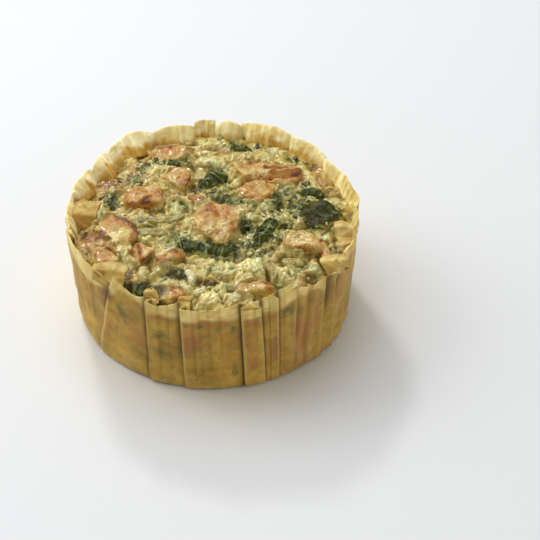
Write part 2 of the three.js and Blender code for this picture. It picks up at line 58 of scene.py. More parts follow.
RIM_RADIUS = 60.0
BASE_RADIUS = 56.8
CASE_HEIGHT = 48.0
BASE_ROUND = 1.6
CUSTARD_CENTRE = 46.0
CUSTARD_DROP = 5.0
DOME_POWER = 4
PLEAT_LIFT = 2.1
PLEAT_LAP = 3.2
SHEET = 0.26  # thickness of the paper
FAR = 99.0  # a distance that is out of reach
BLOCK_CUTS = 2.6  # cuts for each millimetre of a salmon block
LEAF_CELLS = 4.2  # cells for each millimetre of a leaf
WALL_ROOM = 0.75  # how far the custard stays inside the plain wall
ROLL_START = 0.7  # share of the paper's height where its turned-in top starts
ROLL_CREST = 0.4  # share of that top where it bends over
ROLL_RISE = 5.5  # height of the turned-in top over its start
ROLL_DROP = 7.5  # how far the paper comes down again inside

Array = np.ndarray
Piece = bpy.types.Object
Material = bpy.types.Material
Colour = tuple[float, float, float]
Point = tuple[float, float, float]
Pair = tuple[float, float]


class Slot(Enum):
    """The record's material slots."""

    PAPER = "paper"
    CUSTARD = "custard"
    SALMON = "salmon"
    SPINACH = "spinach"
    LEEK = "leek"


# ------------------------------------------------------------------ numbers over points


def smooth(values: Array, low: float, high: float) -> Array:
    """A soft step.

    Args:
        values: Numbers to step.
        low: Where the step leaves 0.
        high: Where it reaches 1.

    Returns:
        The share of the step at each value.
    """
    share = np.clip((np.asarray(values, float) - low) / (high - low), 0.0, 1.0)
    return share * share * (3 - 2 * share)


def flat_points(x: Array, y: Array) -> Array:
    """Points on the ground plane from their two coordinates."""
    return np.stack([x, y, np.zeros_like(x)], axis=1)


def turned(x: Array, y: Array, degrees: float) -> tuple[Array, Array]:
    """Coordinates seen along axes that are turned anticlockwise by an angle."""
    angle = math.radians(degrees)
    return x * math.cos(angle) + y * math.sin(angle), y * math.cos(angle) - x * math.sin(angle)


def laid(u: Array, v: Array, x: float, y: float, degrees: float) -> tuple[Array, Array]:
    """Where places along and across a piece lie once it is turned and put at x, y."""
    angle = math.radians(degrees)
    return x + u * math.cos(angle) - v * math.sin(angle), y + u * math.sin(angle) + v * math.cos(angle)


def unit(rows: Array) -> Array:
    """Each row scaled to length 1."""
    return rows / np.linalg.norm(rows, axis=1, keepdims=True)


def band(values: Array, rise: Pair, fall: Pair) -> Array:
    """1 between two soft steps, 0 before the first and after the second."""
    return smooth(values, *rise) * (1 - smooth(values, *fall))


def hump(values: Array) -> Array:
    """1 at 0, falling softly to 0 on both sides."""
    return np.exp(-(values**2))


def lie(x: Array, y: Array) -> Array:
    """Height of the custard's plain dome."""
    return CUSTARD_CENTRE - CUSTARD_DROP * (np.hypot(x, y) / RIM_RADIUS) ** DOME_POWER


def wall_radius(z: Array) -> Array:
    """Outside radius of the case's plain wall at a height."""
    straight = BASE_RADIUS + (RIM_RADIUS - BASE_RADIUS) * z / CASE_HEIGHT
    below = np.clip(BASE_ROUND - z, 0, BASE_ROUND) / BASE_ROUND
    return straight - BASE_ROUND * (1 - np.sqrt(1 - below * below))


class Grain:
    """Seeded smooth noise over points in space."""

    CELLS = 256
    GAIN = 1.6

    def __init__(self, seed: int) -> None:
        """Draws the noise's order and slopes.

        Args:
            seed: The draw's seed.
        """
        draw = np.random.default_rng(seed)
        self.order = np.tile(draw.permutation(self.CELLS), 3)
        self.slopes = unit(draw.normal(size=(self.CELLS, 3)))

    def at(self, points: Array, size: float) -> Array:
        """Noise of about -1 to 1.

        Args:
            points: One row for each point.
            size: Length of the noise's swells, in the points' unit.

        Returns:
            One value for each point.
        """
        place = np.asarray(points, float) / size
        cell = np.floor(place).astype(np.int64)
        part = place - cell
        fade = part**3 * (part * (part * 6 - 15) + 10)
        cell &= self.CELLS - 1
        value = np.zeros(len(place))
        for corner in itertools.product((0, 1), repeat=3):
            key = self.order[cell[:, 0] + corner[0]]
            key = self.order[key + cell[:, 1] + corner[1]]
            key = self.order[key + cell[:, 2] + corner[2]]
            weight = np.ones(len(place))
            for axis, step in enumerate(corner):
                weight *= fade[:, axis] if step else 1 - fade[:, axis]
            value += weight * np.einsum("ij,ij->i", self.slopes[key], part - np.array(corner))
        return self.GAIN * value

    def layered(self, points: Array, size: float, layers: int = 3, keep: float = 0.5) -> Array:
        """Noise with finer noise on it.

        Args:
            points: One row for each point.
            size: Length of the largest swells.
            layers: How many noises are added, each half the size of the one before.
            keep: Strength of each noise as a share of the one before.

        Returns:
            One value for each point.
        """
        value = np.zeros(len(points))
        strength = 1.0
        for layer in range(layers):
            value += strength * self.at(points + 31.7 * layer, size / 2**layer)
            strength *= keep
        return value

    def ridges(self, points: Array, size: float) -> Array:
        """Thin raised lines, 1 on a line and 0 away from it."""
        return np.clip(1 - 3.2 * np.abs(self.at(points, size)), 0, 1)


class Lumps:
    """Round lumps of one size, laid over a plane in a seeded draw."""

    TABLE = 64

    def __init__(self, seed: int, pitch: float, share: float) -> None:
        """Draws the lumps.

        Args:
            seed: The draw's seed.
            pitch: Distance from one lump to the next.
            share: How many of the places have a lump.
        """
        draw = np.random.default_rng(seed)
        table = (self.TABLE, self.TABLE)
        self.pitch = pitch
        self.shift = draw.random((*table, 2))
        self.width = draw.uniform(0.5, 0.95, table)
        self.tall = draw.uniform(0.35, 1.0, table) * (draw.random(table) < share)

    def at(self, x: Array, y: Array) -> Array:
        """Height of the lumps, from 0 to 1."""
        place = np.stack([x, y], axis=1) / self.pitch
        cell = np.floor(place).astype(np.int64)
        best = np.zeros(len(place))
        for step in itertools.product((-1, 0, 1), repeat=2):
            near = cell + np.array(step)
            row, column = (near[:, 0] % self.TABLE, near[:, 1] % self.TABLE)
            away = np.linalg.norm(place - near - self.shift[row, column], axis=1)
            dome = np.clip(1 - (away / self.width[row, column]) ** 2, 0, 1)
            best = np.maximum(best, self.tall[row, column] * dome)
        return best


# ------------------------------------------------------------------ meshes by hand


def deselect() -> None:
    """Leaves nothing selected, in object mode."""
    if bpy.context.object and bpy.context.object.mode != "OBJECT":
        bpy.ops.object.mode_set(mode="OBJECT")
    bpy.ops.object.select_all(action="DESELECT")


def choose(*pieces: Piece) -> None:
    """Selects these objects alone, with the first one active."""
    deselect()
    for piece in pieces:
        piece.select_set(True)
    bpy.context.view_layer.objects.active = pieces[0]


def edit_all() -> None:
    """Opens the active mesh in edit mode with all of it selected."""
    bpy.ops.object.mode_set(mode="EDIT")
    bpy.ops.mesh.select_all(action="SELECT")


def named(name: str) -> Piece:
    """The primitive just added, under a name of its own."""
    piece = bpy.context.object
    piece.name = name
    piece.data.name = name
    return piece


def new_grid(name: str, columns: int, rows: int) -> Piece:
    """A flat grid from -1 to 1.

    Args:
        name: The object's name.
        columns: Cells along x.
        rows: Cells along y.

    Returns:
        The new object.
    """
    deselect()
    bpy.ops.mesh.primitive_grid_add(x_subdivisions=columns, y_subdivisions=rows, size=2)
    return named(name)


def new_block(name: str, cuts: int) -> Piece:
    """A cube from -1 to 1 with each face split into a grid.

    Args:
        name: The object's name.
        cuts: Cuts along each edge.

    Returns:
        The new object.
    """
    deselect()
    bpy.ops.mesh.primitive_cube_add(size=2)
    piece = named(name)
    edit_all()
    bpy.ops.mesh.subdivide(number_cuts=cuts)
    bpy.ops.object.mode_set(mode="OBJECT")
    return piece


def new_ring_wall(name: str, columns: int, rings: int) -> Piece:
    """An open tube of radius 1, one ring extruded after another.

    Args:
        name: The object's name.
        columns: Points in each ring.
        rings: How many rings stand above each other, 1 apart.

    Returns:
        The new object.
    """
    deselect()
    bpy.ops.mesh.primitive_circle_add(vertices=columns, radius=1, fill_type="NOTHING")
    piece = named(name)
    edit_all()
    for _ in range(rings - 1):
        bpy.ops.mesh.extrude_edges_move(TRANSFORM_OT_translate={"value": (0, 0, 1)})
    bpy.ops.object.mode_set(mode="OBJECT")
    return piece


def read_points(piece: Piece) -> Array:
    """A mesh's points, one row each."""
    points = np.empty(len(piece.data.vertices) * 3)
    piece.data.vertices.foreach_get("co", points)
    return points.reshape(-1, 3)


def write_points(piece: Piece, points: Array) -> None:
    """Puts a mesh's points where they belong, from millimetres."""
    piece.data.vertices.foreach_set("co", (points * MM).ravel())
    piece.data.update()


def store(piece: Piece, **marks: Array | float) -> None:
    """Keeps numbers for each point as attributes that a finish reads.

    Args:
        piece: The object.
        **marks: Each mark's values, or its one value all over.
    """
    count = len(piece.data.vertices)
    for name, values in marks.items():
        layer = piece.data.attributes.new(name=name, type="FLOAT", domain="POINT")
        layer.data.foreach_set("value", np.full(count, values, np.float32))


def modify(piece: Piece, kind: str, **settings: object) -> None:
    """Adds a modifier and applies it.

    Args:
        piece: The object.
        kind: The modifier's type.
        **settings: Its settings.
    """
    choose(piece)
    modifier = piece.modifiers.new(kind.title(), kind)
    for key, value in settings.items():
        setattr(modifier, key, value)
    bpy.ops.object.modifier_apply(modifier=modifier.name)


def outward(piece: Piece) -> None:
    """Turns a closed mesh's faces outward and shades it smooth."""
    choose(piece)
    edit_all()
    bpy.ops.mesh.normals_make_consistent(inside=False)
    bpy.ops.object.mode_set(mode="OBJECT")
    bpy.ops.object.shade_smooth()


def joined(pieces: Sequence[Piece], name: str) -> Piece:
    """Several meshes as one object.

    Args:
        pieces: The objects, of which the first stays.
        name: The joined object's name.

    Returns:
        The joined object.
    """
    choose(*pieces)
    if len(pieces) > 1:
        bpy.ops.object.join()
    return named(name)


def settle(piece: Piece, material: Material, slot: Slot, *nodes: str) -> Piece:
    """Gives a shaped piece its finish and says what it rides on and stands for.

    Args:
        piece: The shaped object.
        material: Its finish.
        slot: Its material slot; not used.
        *nodes: The solids that it stands for.

    Returns:
        The same object.
    """
    piece.data.materials.clear()
    piece.data.materials.append(material)
    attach(piece, "root")
    if nodes:
        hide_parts(*nodes)
    LOG.info("%s: %d faces", piece.name, len(piece.data.polygons))
    return piece


# ------------------------------------------------------------------ shader sums


class Shade:
    """A socket of a material's nodes that can be added, multiplied and compared."""

    def __init__(self, bench: Bench, socket: bpy.types.NodeSocket) -> None:
        """Wraps a socket.

        Args:
            bench: Where its nodes are made.
            socket: The socket that gives the value.
        """
        self.bench = bench
        self.socket = socket

    def _sum(self, operation: str, *terms: object) -> Shade:
        """A Math node on these terms."""
        node = self.bench.node("ShaderNodeMath", {"operation": operation}, dict(enumerate(terms)))
        return Shade(self.bench, node.outputs[0])

    def __add__(self, other: object) -> Shade:
        """Sum."""
        return self._sum("ADD", self, other)

    def __radd__(self, other: object) -> Shade:
        """Sum, reflected."""
        return self._sum("ADD", other, self)

    def __sub__(self, other: object) -> Shade:
        """Difference."""
        return self._sum("SUBTRACT", self, other)

    def __rsub__(self, other: object) -> Shade:
        """Difference, reflected."""
        return self._sum("SUBTRACT", other, self)

    def __mul__(self, other: object) -> Shade:
        """Product."""
        return self._sum("MULTIPLY", self, other)

    def __rmul__(self, other: object) -> Shade:
        """Product, reflected."""
        return self._sum("MULTIPLY", other, self)

    def __abs__(self) -> Shade:
        """Size without its sign."""
        return self._sum("ABSOLUTE", self)

    def step(self, low: float, high: float) -> Shade:
        """A soft step from 0 at low to 1 at high."""
        values = {"Value": self, "From Min": low, "From Max": high, "To Min": 0.0, "To Max": 1.0}
        node = self.bench.node("ShaderNodeMapRange", {"interpolation_type": "SMOOTHSTEP"}, values)
        return Shade(self.bench, node.outputs[0])


class Bench:
    """Makes the nodes of one material."""

    def __init__(self, name: str) -> None:
        """Starts a material.

        Args:
            name: The material's name.
        """
        self.material = bpy.data.materials.new(name)
        self.material.use_nodes = True
        self.tree = self.material.node_tree
        self.tree.nodes.clear()
        self.place = Shade(self, self.node("ShaderNodeTexCoord", {}, {}).outputs["Object"])

    def node(self, kind: str, settings: dict[str, object], values: dict[object, object]) -> bpy.types.Node:
        """Any node.

        Args:
            kind: The node's type.
            settings: Properties, which are set first.
            values: Sockets by name or number, with a number, a colour or a Shade.

        Returns:
            The new node.
        """
        made = self.tree.nodes.new(kind)
        for key, value in settings.items():
            setattr(made, key, value)
        for key, value in values.items():
            if isinstance(value, Shade):
                self.tree.links.new(value.socket, made.inputs[key])
            elif isinstance(value, tuple) and len(made.inputs[key].default_value) == 4:
                made.inputs[key].default_value = (*value, 1.0)
            else:
                made.inputs[key].default_value = value
        return made

    def stored(self, name: str) -> Shade:
        """A number that the mesh keeps for each point."""
        node = self.node("ShaderNodeAttribute", {"attribute_name": name}, {})
        return Shade(self, node.outputs["Fac"])

    def noise(self, size: float, detail: float = 2.0, stretch: Point = (1, 1, 1)) -> Shade:
        """Noise of 0 to 1 over the object.

        Args:
            size: Length of its swells in millimetres.
            detail: How many finer noises are on it.
            stretch: How much denser it is along each axis.

        Returns:
            The noise's value.
        """
        where = self.place
        if stretch != (1, 1, 1):
            mapped = self.node("ShaderNodeMapping", {}, {"Vector": where, "Scale": stretch})
            where = Shade(self, mapped.outputs[0])
        values = {"Vector": where, "Scale": 1 / (size * MM), "Detail": detail, "Roughness": 0.55}
        return Shade(self, self.node("ShaderNodeTexNoise", {}, values).outputs["Fac"])

    def mix(self, first: Colour | Shade, second: Colour | Shade, share: Shade) -> Shade:
        """Two colours mixed by a share."""
        settings = {"data_type": "RGBA", "blend_type": "MIX"}
        node = self.node("ShaderNodeMix", settings, {0: share, 6: first, 7: second})
        return Shade(self, node.outputs[2])

    def layers(self, ground: Colour | Shade, *layers: tuple[Colour | Shade, Shade]) -> Shade:
        """Colours laid over a ground in order, each by its own share."""
        for colour, share in layers:
            ground = self.mix(ground, colour, share)
        return ground

    def scaled(self, colour: Shade, amount: Shade) -> Shade:
        """A colour made lighter or darker."""
        node = self.node("ShaderNodeVectorMath", {"operation": "SCALE"}, {0: colour, "Scale": amount})
        return Shade(self, node.outputs[0])

    def finish(
        self, colour: Shade, roughness: Shade, relief: Shade, depth: float, **constants: object
    ) -> Material:
        """Ends the material in one Principled shader.

        Args:
            colour: Base colour.
            roughness: Roughness.
            relief: Height of the fine relief, 0 to 1.
            depth: Full height of the relief in millimetres.
            **constants: Sockets with one value all over, with spaces as underscores.

        Returns:
            The material.
        """
        bump = self.node("ShaderNodeBump", {}, {"Height": relief, "Distance": depth * MM, "Strength": 1.0})
        values = {key.replace("_", " "): value for key, value in constants.items()}
        values |= {"Base Color": colour, "Roughness": roughness, "Normal": Shade(self, bump.outputs[0])}
        shader = self.node("ShaderNodeBsdfPrincipled", {}, values)
        out = self.node("ShaderNodeOutputMaterial", {}, {})
        self.tree.links.new(shader.outputs[0], out.inputs["Surface"])
        return self.material


# ------------------------------------------------------------------ finishes


@dataclass(frozen=True)
class PaperFinish:
    """Baking paper soaked with butter: clear gold where it is empty, stained where it is filled, with painted
    shadow in its slots, painted highlights on its folds and a painted glow where light comes through it.
    """

    empty: Colour = (0.73, 0.54, 0.155)
    empty_light: Colour = (0.88, 0.71, 0.27)
    # lit and lit_light: the empty paper with painted light coming through it from behind
    lit: Colour = (0.76, 0.63, 0.27)
    lit_light: Colour = (0.86, 0.77, 0.45)
    gilded: Colour = (0.56, 0.35, 0.068)
    rusted: Colour = (0.45, 0.22, 0.035)
    filled: Colour = (0.54, 0.345, 0.062)
    rust: Colour = (0.42, 0.20, 0.031)
    rose: Colour = (0.42, 0.175, 0.058)
    leaf: Colour = (0.155, 0.150, 0.045)
    line: Colour = (0.38, 0.16, 0.03)
    fold: Colour = (0.76, 0.56, 0.19)
    slit: Colour = (0.13, 0.062, 0.011)

    def made(self) -> Material:
        """The paper's material."""
        bench = Bench("paper_soaked")
        above, gild, glow = (bench.stored(name) for name in ("above", "gild", "glow"))
        blot = bench.noise(9.0, 2.0)
        patch = bench.noise(4.6, 3.0)
        speck = bench.noise(1.5, 2.0)
        fibre = bench.noise(0.5, 2.0)
        streak = bench.noise(3.0, 2.0, (1, 1, 0.22))
        cloud = bench.noise(5.5, 2.0).step(0.35, 0.65)
        ragged = patch - 0.5
        empty = bench.layers(
            self.empty,
            (self.empty_light, cloud),
            # painted glow of light coming through the paper, where the glow mark says
            (bench.mix(self.lit, self.lit_light, cloud), glow),
            # golden and rusty browning, which on the turned-in tops also stands for painted shade
            (self.gilded, (gild + ragged * 1.8).step(0.2, 1.0)),
            (self.rusted, (gild + ragged * 2.6).step(0.8, 1.4) * 0.8),
        )
        filled = bench.layers(
            self.filled,
            (self.rust, blot.step(0.42, 0.68) * 0.7),
            (self.empty, patch.step(0.52, 0.68) * 0.25),
            (self.rust, (streak * 0.1 + blot * 0.9).step(0.5, 0.34) * 0.55),
            (self.empty, (above * -1).step(31.0, 42.0) * 0.3),
        )
        filled = bench.layers(
            bench.scaled(filled, 0.28 + bench.noise(10.0, 3.0) * 1.36),
            (self.rose, (bench.stored("rose") + ragged).step(0.15, 1.0) * 0.8),
            (self.leaf, (bench.stored("green") + (speck - 0.5) * 1.3).step(0.05, 1.35) * 0.95),
            (self.leaf, (speck * 0.4 + patch * 0.6).step(0.54, 0.68) * 0.6),
        )
        border = 1 - abs(above + 0.6 + ragged * 3.4).step(0.1, 1.9)
        body = bench.layers(
            filled,
            (empty, (above + ragged * 4.4).step(-2.4, 2.0)),
            (self.line, border * blot.step(0.40, 0.64) * 0.6),
            # painted highlight along the paper's fold edges, creases and crests
            (self.fold, bench.stored("fold") * 0.6),
            # painted shadow in the slots of the pleats and the valleys of the flutes, and painted shade over
            # the flaps
            (self.slit, bench.stored("slit").step(0.05, 0.85) * 0.85),
            (self.leaf, speck.step(0.735, 0.77) * 0.5),
        )
        body = bench.scaled(body, 0.87 + fibre * 0.12 + speck * 0.12)
        return bench.finish(
            body,
            roughness=0.52 - blot * 0.16 + fibre * 0.1,
            relief=fibre * 0.2 + patch * 0.4 + speck * 0.5,
            depth=0.45,
            Subsurface_Weight=0.4,
            Subsurface_Scale=0.0003,
            Subsurface_Radius=(1.0, 0.75, 0.35),
            Specular_IOR_Level=0.2,
            # painted glow: the paper gives off light of its own colour where light would come through it
            Emission_Color=bench.scaled(body, glow),
            Emission_Strength=0.16,
        )


@dataclass(frozen=True)
class CustardFinish:
    """Baked egg custard, green with spinach juice and flecked with chopped leaf, with painted shade in its
    hollows and painted light on its raised lumps.
    """

    cream: Colour = (0.57, 0.44, 0.098)
    pale: Colour = (0.90, 0.79, 0.31)
    mint: Colour = (0.70, 0.74, 0.34)
    gold: Colour = (0.42, 0.24, 0.032)
    sap: Colour = (0.235, 0.225, 0.032)
    hollow: Colour = (0.065, 0.055, 0.006)
    herb: Colour = (0.15, 0.17, 0.03)
    leaf: Colour = (0.046, 0.052, 0.005)
    leaf_light: Colour = (0.15, 0.165, 0.020)
    tan: Colour = (0.50, 0.28, 0.055)
    brown: Colour = (0.31, 0.13, 0.02)

    def made(self) -> Material:
        """The custard's material."""
        bench = Bench("custard_baked")
        green, brown, pit = (bench.stored(name) for name in ("green", "brown", "pit"))
        fine = bench.noise(1.4, 3.0)
        grain = bench.noise(0.6, 2.0)
        mottle = bench.noise(3.0, 4.0) - 0.5
        swell = bench.noise(6.0, 3.0)
        hue = bench.noise(7.0, 2.0)
        crumb = fine - 0.5
        hilly = (swell - 0.5) * 2.0
        pale = bench.mix(self.pale, self.mint, (hue + green * 0.15).step(0.46, 0.60))
        low = bench.mix(self.gold, self.sap, ((hue - 0.5) * 3.0 + green * 0.9 + 0.3).step(0.2, 0.8))
        leaf = bench.mix(self.leaf, self.leaf_light, (grain * 0.5 + fine * 0.5).step(0.46, 0.64))
        olive = green * 0.9 + hilly + mottle * 2.2 + crumb
        body = bench.layers(
            self.cream,
            # pale curd, with painted light on the raised lumps
            (pale, (bench.stored("curd") + crumb * 1.1 + mottle * 1.8).step(0.2, 0.9)),
            # painted shade: golden and olive in the hollows, broken by noise
            (low, (pit * 1.1 + hilly + crumb * 0.7).step(0.1, 0.9) * 0.95),
            (self.sap, (olive - brown * 0.3).step(0.05, 1.0) * 0.9),
            (self.herb, (fine + (green - 0.4) * 0.24).step(0.55, 0.68) * 0.6),
            (self.tan, (brown + crumb * 0.8).step(0.10, 0.75)),
            (self.brown, (brown + crumb * 0.9).step(0.7, 1.2)),
            # painted shade: near black in the deepest hollows
            (self.hollow, (pit + crumb * 0.8).step(0.6, 1.2) * 0.88),
            (leaf, (green + crumb * 1.2 + (grain - 0.5) * 0.4).step(0.62, 1.05)),
        )
        return bench.finish(
            bench.scaled(body, 0.20 + grain * 0.34 + swell * 0.62 + bench.noise(12.0, 2.0) * 0.5),
            roughness=0.36 - swell * 0.28 + grain * 0.12,
            relief=fine * 0.6 + grain * 0.4,
            depth=0.65,
            Subsurface_Weight=0.3,
            Subsurface_Scale=0.0014,
            Subsurface_Radius=(1.0, 0.75, 0.3),
            Specular_IOR_Level=0.4,
            Coat_Roughness=0.12,
            Coat_Weight=(0.7 - pit * 0.6) * (swell + 0.5),
        )


@dataclass(frozen=True)
class SalmonFinish:
    """Baked salmon: cream and pink between its flakes, browned on top, custard on its sides."""

    flesh: Colour = (0.48, 0.31, 0.088)
    cream: Colour = (0.89, 0.73, 0.33)
    rose: Colour = (0.45, 0.215, 0.045)
    tan: Colour = (0.55, 0.27, 0.043)
    brown: Colour = (0.37, 0.125, 0.017)
    dark: Colour = (0.17, 0.052, 0.008)
    film: Colour = (0.64, 0.50, 0.125)
    leaf: Colour = (0.13, 0.14, 0.035)

    def made(self) -> Material:
        """The salmon's material."""
        bench = Bench("salmon_baked")
        brown, pit = bench.stored("brown"), bench.stored("pit")
        fine = bench.noise(1.1, 3.0)
        grain = bench.noise(0.45, 2.0)
        swell = bench.noise(4.0, 2.0)
        crumb = fine - 0.5
        body = bench.layers(
            self.flesh,
            (self.cream, (bench.stored("pale") + crumb * 3.0).step(0.15, 1.0)),
            # painted shade in the dents, and the pink of underdone flesh
            (self.rose, (pit * 0.9 + (swell - 0.5) * 1.1).step(0.25, 0.95) * 0.7),
            (self.film, (bench.stored("smear") + crumb * 0.9).step(0.15, 0.8) * 0.92),
            (self.tan, (brown + crumb * 1.7).step(0.12, 0.65)),
            (self.brown, (brown + crumb * 1.3).step(0.5, 1.1)),
            (self.dark, (brown + crumb * 0.6).step(1.0, 1.5)),
            (self.leaf, bench.noise(0.9, 1.0).step(0.68, 0.72) * 0.5),
        )
        return bench.finish(
            bench.scaled(body, 0.50 + grain * 0.56 + fine * 0.22 + swell * 0.24),
            roughness=0.40 - swell * 0.22 + grain * 0.14,
            relief=fine * 0.6 + grain * 0.4,
            depth=0.8,
            Subsurface_Weight=0.3,
            Subsurface_Scale=0.0016,
            Subsurface_Radius=(1.0, 0.6, 0.25),
            Specular_IOR_Level=0.25,
            Coat_Weight=0.5,
            Coat_Roughness=0.1,
        )


@dataclass(frozen=True)
class LeafFinish:
    """Baked spinach, dark green and wet, with custard in its folds and a painted sheen on its crinkles."""

    deep: Colour = (0.026, 0.030, 0.003)
    green: Colour = (0.088, 0.105, 0.009)
    light: Colour = (0.38, 0.42, 0.15)
    bronze: Colour = (0.052, 0.043, 0.010)
    film: Colour = (0.36, 0.34, 0.075)

    def made(self) -> Material:
        """The spinach's material."""
        bench = Bench("spinach_baked")
        fine = bench.noise(0.9, 3.0)
        swell = bench.noise(3.2, 2.0)
        crumb = fine - 0.5
        body = bench.layers(
            self.deep,
            (self.green, (swell * 0.55 + fine * 0.45).step(0.4, 0.64)),
            (self.bronze, bench.stored("bronze")),
            # pale midrib, and painted sheen on the crests of the crinkles
            (self.light, (bench.stored("rib") + crumb * 0.9).step(0.4, 1.0) * 0.65),
            (self.film, (bench.stored("smear") + crumb * 1.1).step(0.35, 0.9) * 0.9),
        )
        return bench.finish(
            body,
            roughness=0.36 - swell * 0.16 + fine * 0.16,
            relief=fine,
            depth=0.45,
            Specular_IOR_Level=0.2,
            Coat_Weight=0.12,
            Coat_Roughness=0.12,
        )


@dataclass(frozen=True)
class LeekFinish:
    """Soft leek: pale green, glassy, browned in places."""

    green: Colour = (0.34, 0.28, 0.07)
    pale: Colour = (0.72, 0.67, 0.37)
    sap: Colour = (0.17, 0.155, 0.025)
    brown: Colour = (0.30, 0.13, 0.03)

    def made(self) -> Material:
        """The leek's material."""
        bench = Bench("leek_soft")
        fine = bench.noise(1.2, 3.0)
        swell = bench.noise(4.0, 2.0)
        body = bench.layers(
            self.green,
            (self.pale, (bench.stored("pale") + (swell - 0.5) * 1.2).step(0.1, 1.0)),
            (self.sap, (fine * 0.6 + swell * 0.4).step(0.46, 0.62) * 0.6),
            (self.brown, (bench.stored("brown") + (fine - 0.5) * 0.6).step(0.4, 0.9)),
        )
        return bench.finish(
            body,
            roughness=0.3 + fine * 0.15,
            relief=fine,
            depth=0.3,
            Subsurface_Weight=0.25,
            Subsurface_Scale=0.002,
            Subsurface_Radius=(1.0, 0.8, 0.4),
            Specular_IOR_Level=0.4,
            Coat_Weight=0.25,
            Coat_Roughness=0.15,
        )


# ------------------------------------------------------------------ the paper case


class Lap(Enum):
    """Which side of a pleat lies on top where a panel starts."""

    NEXT_OVER = 1
    LAST_OVER = -1
    SOFT = 0


@dataclass(frozen=True)
class Panel:
    """A flat stretch of the case's wall, from one pleat to the next."""

    start: float  # degrees round the case
    lap: Lap
    lift: float  # how far its fold stands out
    edge: tuple[float, float, float]  # height of the paper at its start, middle and end
    slant: float = 0.0  # degrees by which its start is further on at the foot
    lean: float = 0.5  # how far its top leans outward
    roll: float = 0.0  # how far the top is turned in over the custard
    bulge: float = 0.0  # how far it swells outward below that
    pocket: float = 0.0  # how much wider than a plain fold's shadow the gap at its start is


PANELS = (
    Panel(-168, Lap.NEXT_OVER, 0.7, (48.8, 51.2, 51.2), 0.0, -0.4),
    Panel(-145, Lap.SOFT, 0.6, (50.4, 47.6, 42.0), -2.0, -0.8),
    Panel(-128.6, Lap.NEXT_OVER, 0.9, (53.4, 47.4, 48.6), -15.7, -0.9, pocket=4.5),
    Panel(-114.3, Lap.NEXT_OVER, 1.2, (48.4, 46.4, 50.0), -1.5, -0.7, pocket=1.0),
    Panel(-101, Lap.NEXT_OVER, 1.1, (47.8, 46.6, 48.2), 0.4, -0.5, pocket=0.6),
    Panel(-78.6, Lap.NEXT_OVER, 1.1, (46.8, 45.6, 46.2), 2.2, 0.0),
    Panel(-70.8, Lap.LAST_OVER, 0.8, (48.8, 49.8, 47.8), 3.2, -0.3),
    Panel(-63.6, Lap.LAST_OVER, 0.5, (49.8, 50.8, 48.2), 2.0, -0.8),
    Panel(-55.8, Lap.SOFT, 0.4, (48.2, 47.8, 46.6), 1.5, -0.6),
    Panel(-48.2, Lap.SOFT, 0.5, (46.8, 47.4, 49.4), 2.0, -0.2),
    Panel(-43.6, Lap.LAST_OVER, 1.6, (45.6, 46.4, 47.8), 3.0, 0.2, pocket=3.4),
    Panel(-37.5, Lap.LAST_OVER, 1.5, (43.6, 42.4, 41.6), 4.5, 0.2, pocket=3.6),
    Panel(-27.5, Lap.LAST_OVER, 1.3, (47.2, 48.0, 48.4), 3.0, -0.4, 1.2, pocket=1.4),
    Panel(-12, Lap.LAST_OVER, 0.6, (48.2, 48.2, 47.8), 0.0, 0.2, 2.6),
    Panel(5, Lap.NEXT_OVER, 0.5, (47.8, 48.2, 47.0), 0.0, 0.4, 5.0, 0.4),
    Panel(38.5, Lap.NEXT_OVER, 0.8, (46.0, 48.6, 48.0), 0.0, 0.1, 6.5, 0.6),
    Panel(57, Lap.SOFT, 0.4, (48.2, 49.8, 47.6), 0.0, 0.2, 7.0, 0.8),
    Panel(79, Lap.LAST_OVER, 0.6, (46.6, 49.6, 46.0), 0.0, 0.2, 6.5, 0.6),
    Panel(90.5, Lap.NEXT_OVER, 0.8, (48.2, 48.8, 48.4), 0.0, 0.4, 4.0),
    Panel(99, Lap.LAST_OVER, 0.7, (46.4, 49.0, 48.0), 0.0, 0.1, 7.5, 0.8),
    Panel(118, Lap.NEXT_OVER, 0.6, (47.2, 50.4, 46.4), 0.0, -0.2, 9.5, 2.0),
    Panel(139, Lap.LAST_OVER, 0.5, (46.8, 49.6, 46.6), 0.0, -0.2, 9.5, 1.6),
    Panel(152, Lap.NEXT_OVER, 0.5, (46.8, 49.6, 48.0), 0.0, 0.0, 8.5, 0.8),
    Panel(170, Lap.SOFT, 0.3, (48.8, 49.0, 49.2), 0.0, 0.0, 5.0, 0.4),
)


@dataclass(frozen=True)
class Line:
    """One upright line of the wall's paper."""

    panel: int  # the panel that it belongs to
    along: float  # how far along that panel, 0 to 1
    shift: float  # degrees past that place, for the hidden paper of a lap
    lift: float  # how far it stands off the wall, as a share of PLEAT_LIFT
    layer: float  # how many sheets lie under it
    edge: float  # height of the paper there
    fold: float = 0.0  # 1 on a fold's edge
    gap: float = FAR  # distance to the fold's edge that shades it
    pocket: float = 0.0  # how much wider than plain that shade is


